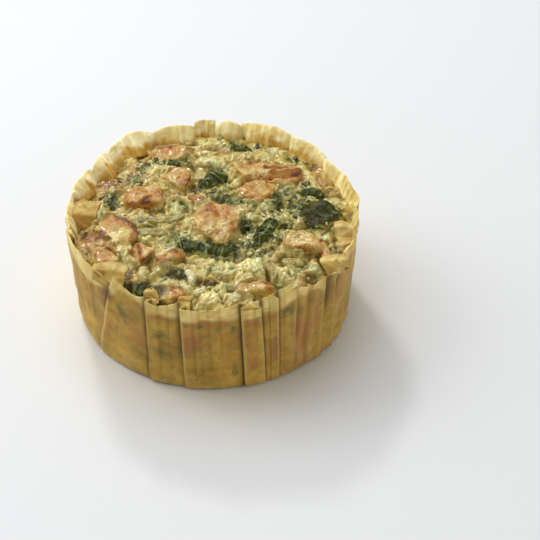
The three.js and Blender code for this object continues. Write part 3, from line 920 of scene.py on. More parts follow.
@dataclass
class PaperCase:
    """The pleated case: one long strip of paper folded into a wall, on a round base."""

    step: float = 0.9  # distance between two upright lines
    rings: int = 60
    tuck: float = 9.0  # how far the paper reaches in under the base
    seed: int = 11
    under_rings: int = 5
    soaked: float = 41.0  # height up to which the filling has stained the paper
    creased: tuple[Pair, Pair] = ((-72.0, -58.0), (0.0, 40.0))  # degrees where the wall creases most
    splashed: tuple[Pair, Pair] = ((-132.0, -126.0), (-124.0, -114.0))  # where it is stained higher
    fluted: tuple[Pair, Pair] = ((-61.0, -56.0), (-46.0, -43.0))  # where it has small upright swells
    flute_pitch: float = 5.6  # degrees from one swell to the next
    flute_phase: float = 57.4
    free: Pair = (38.0, 45.0)  # heights between which the paper comes free of the filling
    gaping: Pair = (14.0, 44.0)  # heights between which a pleat's slot opens
    browned: Pair = (42.5, 46.5)  # heights between which the heat's browning ends
    lap_under: tuple[float, ...] = (0.35, 0.7, 1.0)  # shares of a lap with a line in its lowest sheet
    lap_between: tuple[float, ...] = (0.1, 0.5, 0.95)  # and in the sheet over that
    lap_end: float = 1.04  # where the paper turns back under a lap
    hidden: float = 0.3  # how much lower the hidden paper ends
    foot: float = 0.55  # height of the fold at the wall's foot
    base_room: float = 1.2  # how far the base stays inside the wall's foot
    base_height: float = 0.75
    base_insets: tuple[float, ...] = (3.0, 8.0, 14.0, 14.0, 12.0)
    finish: PaperFinish = PaperFinish()

    def edge_at(self, index: int, along: float) -> float:
        """Height of a panel's paper edge through its start, middle and end."""
        start, middle, end = PANELS[index].edge
        at_start = (1 - along) * (1 - 2 * along)
        at_middle = 4 * along * (1 - along)
        at_end = along * (2 * along - 1)
        return start * at_start + middle * at_middle + end * at_end

    def lift_at(self, index: int, along: float) -> float:
        """How far a panel stands off the wall, as a share of PLEAT_LIFT."""
        here = PANELS[index]
        after = PANELS[(index + 1) % len(PANELS)]
        at_start = 0.0 if here.lap is Lap.LAST_OVER else here.lift
        at_end = 0.0 if after.lap is Lap.NEXT_OVER else after.lift
        return at_start * (1 - along) ** 1.6 + at_end * along**1.6

    def lap_lines(self, index: int, after: Panel) -> list[Line]:
        """The hidden paper of the lap at a panel's end, in the order of the strip.

        Args:
            index: The panel that ends there.
            after: The panel that starts there.

        Returns:
            The lines, none at a soft fold.
        """
        if after.lap is Lap.SOFT:
            return []
        ends = [self.edge_at(index, 1), self.edge_at((index + 1) % len(PANELS), 0)]
        low, high = ends[:: after.lap.value]
        reach = after.lap.value * PLEAT_LAP
        lines = [Line(index, 1.0, -0.12 * after.lap.value, 0.82 * after.lift, 1.5, high, 1.0)]
        for part in self.lap_between:
            share = 1 - part
            edge = low + (high - low) * share - 0.5 * part
            lines.append(Line(index, 1.0, reach * part, 0.5 * share * after.lift, 1.0, edge))
        lines.append(Line(index, 1.0, reach * self.lap_end, 0.0, 0.6, low - 0.4))
        if after.lap is Lap.LAST_OVER:
            return lines
        under = [Line(index, 1.0, reach * part, 0.0, 0.0, low - self.hidden) for part in self.lap_under]
        return under + lines[::-1]

    def lines(self) -> list[Line]:
        """The strip's upright lines anticlockwise, with the three layers of each lap."""
        lines = []
        count = len(PANELS)
        for index, here in enumerate(PANELS):
            after = PANELS[(index + 1) % count]
            end = after.start + (360 if index + 1 == count else 0)
            width = end - here.start
            length = math.radians(width) * RIM_RADIUS
            steps = max(4, round(length / self.step))
            if here.lap is Lap.LAST_OVER:
                low = self.edge_at(index, 0) - self.hidden
                for part in (0.0, *self.lap_under[:-1]):
                    lines.append(Line(index, 0.0, -PLEAT_LAP * (1 - part), 0.0, 0.0, low))
            for i in range(steps + 1):
                along = i / steps
                if i == steps and after.lap is Lap.SOFT:
                    continue
                crease = (i == 0 and here.lap is Lap.NEXT_OVER) or (i == steps and after.lap is Lap.LAST_OVER)
                soft = i == 0 and here.lap is Lap.SOFT
                over_start = here.lap is Lap.NEXT_OVER and along * width < PLEAT_LAP
                over_end = after.lap is Lap.LAST_OVER and (1 - along) * width < PLEAT_LAP
                gap_start = along * length if here.lap is Lap.LAST_OVER else FAR
                gap_end = (1 - along) * length if after.lap is Lap.NEXT_OVER else FAR
                lines.append(Line(
                    index, along, 0.0, self.lift_at(index, along), 2.0 if over_start or over_end else 0.0,
                    self.edge_at(index, along), 1.0 if crease else 0.5 if soft else 0.0,
                    min(gap_start, gap_end), here.pocket if gap_start < gap_end else after.pocket,
                ))
            lines += self.lap_lines(index, after)
        return lines

    def build(self) -> Piece:
        """The case as one mesh.

        Returns:
            The finished object.
        """
        lines = self.lines()
        count = len(lines)
        wall = new_ring_wall("baking_case_paper", count, self.rings + self.under_rings)
        raw = read_points(wall)
        column = np.round(np.arctan2(raw[:, 1], raw[:, 0]) / (2 * math.pi) * count).astype(int) % count
        ring = np.round(raw[:, 2]).astype(int)
        points, marks = self.wall_points(lines, column, ring)
        write_points(wall, points)
        store(wall, **marks)
        modify(wall, "SOLIDIFY", thickness=SHEET * MM, offset=-1.0, use_even_offset=False)
        pieces = [wall, self.base()] + [flap.build(self) for flap in FLAPS]
        piece = joined(pieces, "baking_case_paper")
        bpy.ops.object.shade_smooth()
        return settle(piece, self.finish.made(), Slot.PAPER, "baking_case")

    def wall_points(self, lines: list[Line], column: Array, ring: Array) -> tuple[Array, dict[str, Array]]:
        """Where each point of the strip lies.

        Args:
            lines: The strip's upright lines.
            column: Each point's line.
            ring: Each point's ring, counted from the tucked end under the base.

        Returns:
            The points and the marks that the finish reads.
        """
        grain = Grain(self.seed)
        starts = np.array([p.start for p in PANELS] + [PANELS[0].start + 360], float)
        slants = np.array([p.slant for p in PANELS] + [PANELS[0].slant], float)
        leans, rolls, bulges = np.array([(p.lean, p.roll, p.bulge) for p in PANELS]).T
        rows = np.array([astuple(line) for line in lines])[column]
        panel = rows[:, 0].astype(int)
        along, shift, stand, layer, edge, fold, gap, pocket = rows[:, 1:].T
        # where each point is on the plain wall
        share = np.clip((ring - self.under_rings) / (self.rings - 1), 0, 1)
        knee_share = 1 - ROLL_RISE / CASE_HEIGHT
        upper = np.clip((share - ROLL_START) / (1 - ROLL_START), 0, 1)
        low_share = 1 - knee_share * np.minimum(share / ROLL_START, 1) ** 1.1 - (1 - knee_share) * upper
        first = starts[panel] + slants[panel] * low_share
        last = starts[panel + 1] + slants[panel + 1] * low_share
        degrees = first + along * (last - first) + shift
        angle = np.radians(degrees)
        turn = np.where(degrees > 180, degrees - 360, degrees)
        around = np.stack([RIM_RADIUS * np.cos(angle), RIM_RADIUS * np.sin(angle), 0 * angle], axis=1)
        edge = edge + 0.45 * grain.layered(around, 5.0, 3) + 0.35 * grain.at(around + 90, 2.2)
        knee = edge - ROLL_RISE
        z = np.minimum(share / ROLL_START, 1) ** 1.1 * knee + upper * ROLL_RISE
        lift_share = np.interp(share, (0, 0.034, 0.5, 0.88, 1), (0.2, 0.5, 0.75, 0.95, 1.1))
        lift = PLEAT_LIFT * lift_share * stand
        lift = np.maximum(lift, layer * SHEET * 1.3)
        here = np.stack([wall_radius(z) * np.cos(angle), wall_radius(z) * np.sin(angle), z], axis=1)
        # how the sheet is crumpled and creased
        open_share = smooth(z, *self.free)
        quiet = smooth(share, 0.0, 0.12)
        crumple = 0.42 * grain.layered(here, 11.0, 2) + 0.12 * grain.at(here * (1, 1, 0.5), 3.0)
        crumple = crumple * quiet * (1 + 0.5 * open_share)
        crease = grain.ridges(here * (1, 1, 0.16) + 7, 7.5) * smooth(grain.at(around + 60, 14.0), -0.3, 0.3)
        creasing = 0.05 + 0.5 * band(turn, *self.creased)
        # how its top is turned in
        lean = leans[panel] * upper
        arch = 0.5 + 0.5 * np.sin(math.pi * along) ** 0.6
        roll = rolls[panel] * arch * (1 + 0.16 * grain.layered(around + 25, 6.0, 2))
        bulge = bulges[panel] * arch * smooth(share, 0.45, ROLL_START)
        rolled = smooth(roll, 0.0, 3.0)
        rise = np.clip(upper / ROLL_CREST, 0, 1)
        fall = np.clip((upper - ROLL_CREST) / (1 - ROLL_CREST), 0, 1)
        over = roll * (0.2 * (1 - np.cos(rise * math.pi / 2)) + 0.8 * fall**0.9)
        down = knee + ROLL_RISE * np.sin(rise * math.pi / 2) - ROLL_DROP * fall**1.15
        patchy = smooth(grain.at(around + 120, 12.0), -0.1, 0.5)
        crushed = 0.7 * patchy * grain.ridges(here * (1, 1, 1.6) + 70, 4.4)
        soft = 1.1 * grain.layered(here + 50, 6.5, 3) + crushed + 0.3 * grain.at(here + 130, 2.0)
        soft = soft * rolled * open_share
        fluting = band(turn, *self.fluted)
        strayed = turn + self.flute_phase + 1.5 * grain.layered(here * (1, 1, 0.5) + 33, 12.0, 2)
        flute = np.cos(2 * math.pi * strayed / self.flute_pitch)
        lift = lift + 0.6 * fluting * flute * (0.2 + 0.8 * share)
        radius = wall_radius(z) + lift + crumple + creasing * crease * quiet + lean + bulge - over - soft
        paper_z = z
        z = z + rolled * (down - z) * (upper > 0) + 0.7 * soft * np.sin(math.pi * upper)
        # the end that is tucked under the base
        under = np.clip(self.under_rings - ring, 0, None) / self.under_rings
        radius = radius - under * self.tuck - 0.8 * (under > 0)
        z = z + np.where(under > 0, 0.12 + 0.25 * layer * SHEET, 0.0)
        z = np.where(ring == self.under_rings, self.foot, z)
        points = np.stack([radius * np.cos(angle), radius * np.sin(angle), z], axis=1)
        # what the filling, the heat and the folds have left on it, and painted light: shadow in the slots,
        # highlights on folds and crests, shade down the turned-in tops and a glow where light comes through
        level = self.soaked + 0.9 * grain.layered(around, 9.0, 2) + 1.2 * grain.at(around + 15, 22.0)
        level = level + 5.5 * band(turn, *self.splashed) + 3.0 * fluting
        green = grain.layered(here * (1, 1, 0.8) + 20, 5.5, 2)
        behind = smooth(np.sin(angle) + 0.3 * np.cos(angle + 2.6), -0.1, 0.3)
        cloud = grain.layered(here + 31, 5.0, 2)
        # golden browning down the inside of the turned-in tops, which also stands for painted shade toward
        # their lower end
        shade = np.where(rolled > 0.5, smooth(upper + 0.2 * cloud, 0.5, 0.95), 0.0)
        shade = shade * (1.0 + 0.5 * smooth(turn, 110.0, 150.0))
        low_gild = (1 - rolled) * (1 - smooth(paper_z + 1.3 * cloud, *self.browned))
        # painted shadow in the pleats' slots: darkest at the edge of the fold over them, wider where the slot
        # opens
        gaping = smooth(paper_z, *self.gaping)
        reach = 1.1 * (1 + 0.6 * pocket * gaping)
        clear = gap - 0.9 * pocket * gaping
        shadow = np.maximum(np.exp(-np.clip(clear, 0, None) / reach), POCKET.at(turn, z))
        stains = total(GREEN_STAINS, turn, z) * (1 + 0.7 * grain.layered(here + 66, 3.0, 3))
        rosy = total(ROSE_STAINS, turn, z) * (1 + 0.6 * grain.layered(here + 88, 4.0, 3))
        # painted highlight: lighter paper along fold edges, creases and the crests of the flutes
        painted_edge_light = np.maximum(fold, np.maximum(creasing * crease, 0.36 * fluting * flute))
        marks = {
            "above": paper_z + upper * roll * 0.5 - level,
            "fold": painted_edge_light * smooth(share, 0.02, 0.2),
            # painted shadow in the slots, less on the back seen from inside, and painted shade in the valleys
            # of the flutes
            "slit": np.maximum(shadow * (1 - 0.75 * behind), 0.34 * fluting * smooth(-flute, -0.6, 1.0)),
            "rose": np.clip(0.5 * smooth(grain.at(here + 40, 14.0), 0.0, 0.5) + rosy, 0, 1.3),
            "green": np.clip(0.4 * smooth(green, 0.4, 0.9) * smooth(z, 3.0, 10.0) + stains, 0, 1.3),
            # painted glow of light through the paper on the back of the case
            "glow": behind * (0.7 + 0.3 * smooth(turn, 95.0, 130.0)),
            # golden browning, with painted shade on the turned-in tops
            "gild": np.maximum(0.25, behind) * np.maximum(shade, low_gild),
        }
        return points, marks

    def base(self) -> Piece:
        """The round sheet under the custard, a little wavy."""
        deselect()
        bpy.ops.mesh.primitive_circle_add(vertices=160, radius=BASE_RADIUS - self.base_room, fill_type="NGON")
        sheet = named("case_base")
        edit_all()
        for inset in self.base_insets:
            bpy.ops.mesh.inset(thickness=inset)
        bpy.ops.object.mode_set(mode="OBJECT")
        points = read_points(sheet)
        points[:, 2] = self.base_height + 0.1 * Grain(self.seed + 1).at(points, 9.0)
        write_points(sheet, points)
        store(sheet, above=-6.0, fold=0.0, slit=0.0, rose=0.0, green=0.0, gild=0.0, glow=0.0)
        modify(sheet, "SOLIDIFY", thickness=SHEET * MM, offset=0.0)
        return sheet


@dataclass(frozen=True)
class Flap:
    """A flap of the case's paper that lies over the custard and hangs down from a fold."""

    back: tuple[Point, Point]
    fold: tuple[Point, Point]
    low: tuple[Point, Point]
    seed: int
    # glow: painted glow of light through the flap; shade: painted shade laid over all of it
    glow: float = 0.3
    gild: float = 0.4
    shade: float = 0.34

    def build(self, case: PaperCase) -> Piece:
        """The flap as a thin bent sheet.

        Args:
            case: The case that it belongs to.

        Returns:
            The sheet.
        """
        sheet = new_grid("case_flap", 30, 30)
        raw = read_points(sheet)
        across, out = (raw[:, 0] + 1) / 2, (raw[:, 1] + 1) / 2
        grain = Grain(case.seed + self.seed)
        ragged = 0.12 * grain.layered(flat_points(across * 3, 0 * across + self.seed), 0.8, 2)
        sides = grain.at(flat_points(out * 2 + 9, np.sign(across - 0.5)), 0.9)
        across = 0.5 + (across - 0.5) * (1 - 0.06 * np.abs(2 * out - 1) ** 3 + 0.12 * sides)
        corners = 0.1 * (2 * out - 1) * np.abs(2 * across - 1) ** 3
        out = out + ragged * smooth(np.abs(2 * out - 1), 0.4, 1) - corners
        points = sum(self.path(across, out + step) for step in (-0.04, 0.0, 0.04)) / 3
        creases = grain.ridges(points * (1, 1, 0.4) + 9, 4.5)
        points[:, 2] += 0.25 * grain.layered(points, 5.0, 2) + 0.35 * creases + 0.4 * np.sin(math.pi * across)
        write_points(sheet, points)
        border = smooth(np.maximum(np.abs(2 * out - 1), np.abs(2 * across - 1)), 0.9, 1.0)
        crest = hump((out - 0.5) / 0.05)
        # painted light on the flap: highlights along its edges, fold crest and creases, with painted shade
        # and glow over all of it
        store(
            sheet,
            above=3.0 + 0.5 * grain.at(points, 4.0),
            fold=0.5 * np.maximum(np.maximum(border, crest), creases),
            gild=self.gild * (0.8 + 0.3 * smooth(out, 0.45, 0.55)) + 0.2 * grain.at(points + 5, 4.0),
            slit=self.shade * (1 + 0.4 * grain.layered(points + 60, 3.5, 2)),
            rose=0.0,
            green=0.0,
            glow=self.glow,
        )
        modify(sheet, "SOLIDIFY", thickness=SHEET * MM, offset=0.0)
        return sheet

    def path(self, across: Array, out: Array) -> Array:
        """Points of the flap without its creases."""
        rows = [
            np.outer(1 - across, np.array(first)) + np.outer(across, np.array(last))
            for first, last in (self.back, self.fold, self.low)
        ]
        near = np.clip(2 * out, None, 1)[:, None]
        far = np.clip(2 * out - 1, 0, None)[:, None]
        return rows[0] + (rows[1] - rows[0]) * near + (rows[2] - rows[1]) * far


FLAPS = (
    Flap(((-59.4, 8.6, 45.6), (-46.8, 9.2, 43.8)), ((-58.2, -0.9, 46.8), (-48.2, -1.6, 46.0)),
         ((-57.6, -6.8, 40.8), (-49.6, -6.0, 40.4)), 3, 0.0, 0.85),
    Flap(((-46.9, -34.4, 48.4), (-33.6, -30.2, 45.6)), ((-47.2, -38.2, 48.8), (-34.0, -37.6, 46.8)),
         ((-47.6, -41.4, 44.9), (-35.4, -45.4, 42.0)), 5, 0.1, 0.6),
    Flap(((-25.6, -43.6, 43.4), (-21.6, -44.2, 43.0)), ((-26.4, -48.2, 45.8), (-20.8, -48.6, 44.8)),
         ((-26.2, -52.4, 43.0), (-19.8, -53.0, 42.4)), 7, 0.0, 0.8),
    Flap(((-11.6, -47.4, 43.0), (-7.6, -47.8, 42.6)), ((-12.6, -51.4, 45.4), (-7.6, -51.6, 44.6)),
         ((-12.8, -55.0, 42.6), (-7.4, -55.2, 42.2)), 8, 0.0, 0.8),
    Flap(((49.9, -5.4, 46.2), (58.0, -9.2, 48.0)), ((49.8, -9.9, 47.0), (58.2, -12.2, 48.0)),
         ((50.4, -13.6, 42.6), (57.4, -16.2, 43.6)), 6, 0.1, 0.7),
    Flap(((50.8, -12.6, 44.0), (57.6, -14.4, 45.0)), ((51.4, -17.2, 43.6), (56.6, -17.8, 44.4)),
         ((52.6, -21.0, 42.4), (55.4, -21.2, 42.8)), 9, 0.0, 0.85),
    Flap(((43.6, -26.6, 45.4), (54.6, -26.8, 46.6)), ((43.6, -31.4, 46.4), (55.0, -29.6, 46.0)),
         ((48.0, -37.9, 42.2), (53.6, -30.9, 40.8)), 10, 0.1, 0.6),
)


# ------------------------------------------------------------------ what lies in the custard


@dataclass(frozen=True)
class Bed:
    """The ground that a piece takes up in the custard's top."""

    x: float
    y: float
    long: float
    wide: float
    turn: float
    depth: float  # how far the custard is pressed down under the piece
    lip: float = 0.0  # how far it is drawn up round it
    bleed: float = 0.0  # how brown it is round it

    def away(self, x: Array, y: Array) -> Array:
        """Distance from the middle as a share of the bed's own outline."""
        u, v = turned(x - self.x, y - self.y, self.turn)
        return (np.abs(2 * u / self.long) ** 3 + np.abs(2 * v / self.wide) ** 3) ** (1 / 3)


@dataclass(frozen=True)
class Spot:
    """A browned place: where it is, how wide and how dark."""

    x: float
    y: float
    wide: float
    dark: float

    def at(self, x: Array, y: Array) -> Array:
        """How dark it makes a point."""
        return self.dark * hump(np.hypot(x - self.x, y - self.y) / self.wide)


@dataclass(frozen=True)
class Seam:
    """A straight groove or ridge over a chunk, and how dark it is: browned crust on a ridge, painted shade in
    a groove.
    """

    start: Pair
    end: Pair
    wide: float
    rise: float  # its height, less than 0 for a groove
    dark: float

    def at(self, x: Array, y: Array) -> Array:
        """1 on the seam, falling to 0 beside it."""
        way = np.subtract(self.end, self.start)
        share = np.clip(((x - self.start[0]) * way[0] + (y - self.start[1]) * way[1]) / (way @ way), 0, 1)
        away = np.hypot(x - self.start[0] - share * way[0], y - self.start[1] - share * way[1])
        return hump(away / self.wide)


@dataclass(frozen=True)
class Block:
    """One block of a salmon chunk."""

    x: float
    y: float
    size: tuple[float, float, float]
    turn: float
    proud: float  # how far its top stands over the custard
    tilt: float


def total(places: Sequence[Spot | Zone | Ring], x: Array, y: Array) -> Array:
    """What all these places together give at a point."""
    return sum(place.at(x, y) for place in places)


def uneven(place: Array, phase: float) -> Array:
    """A gentle unevenness of a place along some length."""
    return 0.6 * np.sin(place + phase) + 0.4 * np.sin(2.3 * place + 1.7 * phase + 1)


@dataclass
class SalmonChunk:
    """A chunk of baked salmon: rounded blocks with flakes, pits and a browned top."""

    name: str
    blocks: tuple[Block, ...]
    seed: int
    spots: tuple[Spot, ...] = ()
    toast: float = 0.3  # browning over the whole top
    power: float = 9.0  # how square its edges are
    cuts: int = 5
    pitch: float = 3.2  # width of a flake
    flake: float = 0.45  # height of the steps between flakes
    crag: float = 0.9  # roughness of the broken flesh
    taper: float = 0.22
    rosy: float = 0.0  # how underdone it is
    veil: float = 0.35  # how much custard lies on its top
    seams: tuple[Seam, ...] = ()
    crisp: float = 0.55  # browning along its upper edges

    def beds(self) -> list[Bed]:
        """The ground that the chunk takes up."""
        return [
            Bed(b.x, b.y, b.size[0] * 0.84, b.size[1] * 0.84, b.turn, 0.8 + 0.3 * b.proud, 1.9, bleed=0.55)
            for b in self.blocks
        ]

    def form(self, way: Array, seed: int) -> Array:
        """A cube from -1 to 1 with soft edges and some slanting cuts across them.

        Args:
            way: Unit directions from the middle.
            seed: Seed of the cuts.

        Returns:
            The surface's point in each direction.
        """
        draw = np.random.default_rng(seed)
        spread = (np.abs(way) ** self.power).sum(axis=1)
        for _ in range(self.cuts):
            angle = draw.uniform(0, 2 * math.pi)
            normal = np.array([math.cos(angle), math.sin(angle), draw.uniform(-0.2, 0.9)])
            normal /= np.linalg.norm(normal)
            distance = draw.uniform(0.7, 0.86) * np.abs(normal).sum()
            spread += np.clip(way @ normal / distance, 0, None) ** self.power
        return way * (spread ** (-1 / self.power))[:, None]

    def block(self, spec: Block, seed: int) -> Piece:
        """One block of the chunk.

        Args:
            spec: Its size and place.
            seed: Seed of its unevenness.

        Returns:
            The block as an object of its own.
        """
        size = np.array(spec.size)
        piece = new_block(self.name, int(np.clip(size[0] * BLOCK_CUTS, 18, 48)))
        way = unit(read_points(piece))
        form = self.form(way, 10 * self.seed + seed)
        bulge = 1 + 0.05 * uneven(3 * way[:, 0] + 2 * way[:, 1], seed)
        bulge = bulge + 0.04 * uneven(4 * way[:, 1], seed + 2)
        draw = np.random.default_rng(100 * self.seed + seed)
        narrow = draw.uniform(-self.taper, self.taper, 3)
        points = form * size / 2 * bulge[:, None]
        points[:, 1] *= 1 + narrow[0] * form[:, 0]
        points[:, 0] *= 1 + narrow[1] * form[:, 1]
        points[:, 0] += narrow[2] * size[0] * 0.5 * form[:, 1]
        face = unit(form / size)
        grain = Grain(self.seed * 10 + seed)
        scale = min(1.0, size[0] / 16)
        bend = 0.9 * grain.at(points, 8.0) + 0.35 * np.abs(points[:, 1]) / self.pitch
        phase = points[:, 0] / self.pitch / 1.5 + bend + 100
        saw = phase % 1.0
        crack = hump(np.minimum(saw, 1 - saw) / 0.06) * smooth(grain.at(points + 12, 7.0), -0.25, 0.25)
        steps = -self.flake * (0.4 * saw + crack)
        rough = 0.9 * grain.layered(points, 5.5, 2) + 0.28 * grain.layered(points + 40, 2.4, 2)
        dents = -0.7 * smooth(grain.at(points + 77, 3.4), 0.3, 0.8)
        relief = scale * (steps + self.crag * (rough + dents))
        points = points + face * relief[:, None]
        angle = math.radians(spec.tilt)
        y = points[:, 1] * math.cos(angle) - points[:, 2] * math.sin(angle)
        z = points[:, 1] * math.sin(angle) + points[:, 2] * math.cos(angle)
        z = z + lie(np.array(spec.x), np.array(spec.y)) + spec.proud - size[2] / 2
        place = np.stack([*laid(points[:, 0], y, spec.x, spec.y, spec.turn), z], axis=1)
        upward = smooth(face[:, 2], 0.0, 0.6)
        x, y = place[:, 0].copy(), place[:, 1].copy()
        seams = [seam.at(x, y) for seam in self.seams]
        for seam, line in zip(self.seams, seams):
            place[:, 2] += seam.rise * line * upward
        write_points(piece, place)
        height = place[:, 2] - lie(x, y)
        # dents are marked for painted shade; rosy adds underdone pink to the same mark
        pit = smooth(-relief, 0.3, 1.2) + self.rosy
        top = smooth(height, 0.3 * spec.proud, spec.proud) * smooth(face[:, 2], 0.0, 0.8)
        brown = self.toast * top * (0.8 + 1.8 * grain.layered(place, 5.0, 2))
        brown = brown + 0.3 * grain.at(place + 21, 2.4) * top
        outer = np.abs(form[:, :2]).max(axis=1) + 0.2 * grain.layered(place + 52, 3.0, 2)
        crest = smooth(outer, 0.6, 0.86) * smooth(face[:, 2], 0.05, 0.5)
        crest = crest * smooth(grain.at(place + 95, 7.0), -0.3, 0.3)
        brown = brown + self.crisp * crest
        brown = brown + total(self.spots, x, y) * (0.75 + 0.8 * grain.layered(place, 2.6, 2))
        # browned crust along ridges, painted shade along grooves
        for seam, line in zip(self.seams, seams):
            brown = brown + seam.dark * line * (0.8 + 0.4 * grain.at(place + 3, 2.6))
        rim = smooth(outer, 0.8, 1.05) * (1 - 0.8 * crest)
        sides = 0.75 * min(spec.proud, 2.8) - height + 1.6 * grain.layered(place + 9, 3.0, 2)
        veil = self.veil * smooth(grain.layered(place + 64, 5.0, 2), 0.0, 0.4) * smooth(1.0 - brown, 0.2, 0.8)
        store(
            piece,
            brown=brown,
            pit=pit,
            pale=0.3 + 0.8 * grain.layered(place + 15, 5.0, 2) + 0.3 * (1 - top),
            smear=np.maximum(np.maximum(smooth(sides, 0.0, 1.4), 0.75 * rim), veil),
        )
        return piece

    def build(self, material: Material) -> Piece:
        """The chunk as one mesh.

        Args:
            material: The salmon's finish.

        Returns:
            The finished object.
        """
        parts = [self.block(block, i + 1) for i, block in enumerate(self.blocks)]
        piece = joined(parts, self.name + "_baked")
        outward(piece)
        return settle(piece, material, Slot.SALMON, self.name)


@dataclass
class SpinachLeaf:
    """A wilted spinach leaf that lies in the custard, folded and crumpled."""

    name: str
    x: float
    y: float
    length: float
    width: float
    turn: float
    proud: float
    wave: float  # height of its broad swells
    seed: int
    bronze: float = 0.0
    crease: float = 0.6  # height of its folds
    stalk: float = 0.3
    # sheen: strength of the painted sheen on the crests of its folds
    sheen: float = 0.9  # how pale the crests of its folds are
    thick: float = 0.35

    def beds(self) -> list[Bed]:
        """The ground that the leaf takes up."""
        return [Bed(self.x, self.y, self.length * 0.8, self.width * 0.8, self.turn, depth=1.2, lip=0.5)]

    def build(self, material: Material) -> Piece:
        """The leaf as one closed sheet.

        Args:
            material: The spinach's finish.

        Returns:
            The finished object.
        """
        columns = int(np.clip(self.length * LEAF_CELLS, 30, 90))
        rows = int(np.clip(self.width * LEAF_CELLS, 20, 76))
        piece = new_grid(self.name + "_wilted", columns, rows)
        raw = read_points(piece)
        grain = Grain(100 + self.seed)
        s = 0.5 + 0.48 * raw[:, 0]
        t = raw[:, 1]
        outline = np.sqrt(np.clip(1 - np.abs(2 * s - 1) ** 2.6, 0, None))
        jag = 1 + 0.12 * uneven(9 * s, self.seed)
        jag = jag + 0.1 * grain.layered(flat_points(s * 20, np.sign(t) * 9), 3.0, 3)
        u = (s - 0.5) * self.length
        v = t * outline * jag * self.width / 2
        u = u + 0.9 * grain.at(flat_points(t * 10, s * 4), 2.6) * np.abs(2 * s - 1) ** 3
        x, y = laid(u, v, self.x, self.y, self.turn)
        ripple = self.wave * (uneven(u * 0.55, self.seed) + 0.7 * np.sin(v * 0.7 + self.seed) - 0.9 * t * t)
        place = flat_points(x, y)
        along = flat_points(1.5 * u + 0.35 * v, 0.55 * v + self.seed)
        crinkle = grain.ridges(along, 4.6)
        folds = self.crease * (1.4 * crinkle + 0.8 * grain.ridges(along + 33, 2.6))
        folds = folds + 0.25 * grain.layered(place + 60, 1.8, 2)
        border = np.maximum(smooth(np.abs(t), 0.62, 1.0), smooth(np.abs(2 * s - 1), 0.72, 1.0))
        dip = (1.3 + 0.9 * grain.at(place + 90, 4.0)) * border
        z = lie(x, y) + self.proud * 0.8 + ripple + folds * (1 - 0.5 * border) - dip
        write_points(piece, np.stack([x, y, z], axis=1))
        sheen = smooth(crinkle, 0.45, 0.95) * smooth(grain.at(place + 70, 5.0), -0.4, 0.3)
        store(
            piece,
            # painted sheen on the crests of the crinkles, and the pale midrib
            rib=self.sheen * sheen + self.stalk * hump(t / 0.09),
            bronze=self.bronze * smooth(-u + 2.5 * grain.at(place, 5.0), -1.0, 3.0),
            smear=0.75 * border + 0.55 * grain.layered(place + 44, 4.0, 2),
        )
        modify(piece, "SOLIDIFY", thickness=self.thick * MM, offset=-1.0)
        outward(piece)
        return settle(piece, material, Slot.SPINACH, self.name)


@dataclass
class LeekPiece:
    """A soft round piece of leek that bends sideways."""

    name: str
    x: float
    y: float
    length: float
    thick: float
    turn: float
    proud: float
    bend: float  # how far its ends lie to the side
    seed: int
    pale: float = 0.3
    spots: tuple[Spot, ...] = ()
    power: float = 3.2  # how blunt its ends are

    def beds(self) -> list[Bed]:
        """The ground that the piece takes up."""
        return [Bed(self.x, self.y, self.length * 0.9, self.thick * 0.9, self.turn, depth=1.0, lip=0.4)]

    def build(self, material: Material) -> Piece:
        """The piece as a closed mesh.

        Args:
            material: The leek's finish.

        Returns:
            The finished object.
        """
        piece = new_block(self.name + "_soft", 26)
        way = unit(read_points(piece))
        spread = np.abs(way[:, 0]) ** self.power + np.hypot(way[:, 1], way[:, 2]) ** self.power
        form = way * (spread ** (-1 / self.power))[:, None]
        grain = Grain(200 + self.seed)
        waist = 1 + 0.06 * uneven(3 * form[:, 0], self.seed)
        points = form * np.array([self.length, self.thick, self.thick]) / 2
        points[:, 1:] *= waist[:, None]
        points[:, 1] += self.bend * form[:, 0] ** 2
        ribs = 0.07 * np.sin(np.arctan2(form[:, 2], form[:, 1]) * 9 + 1.3 * form[:, 0])
        swell = 0.5 * grain.layered(points, 3.4, 3) + ribs
        points += way * swell[:, None]
        x, y = laid(points[:, 0], points[:, 1], self.x, self.y, self.turn)
        z = points[:, 2] + lie(np.array(self.x), np.array(self.y)) + self.proud - self.thick / 2
        place = np.stack([x, y, z], axis=1)
        write_points(piece, place)
        pale = self.pale + 0.3 * grain.layered(place, 4.0, 2)
        store(piece, brown=total(self.spots, x, y), pale=pale)
        outward(piece)
        return settle(piece, material, Slot.LEEK, self.name)


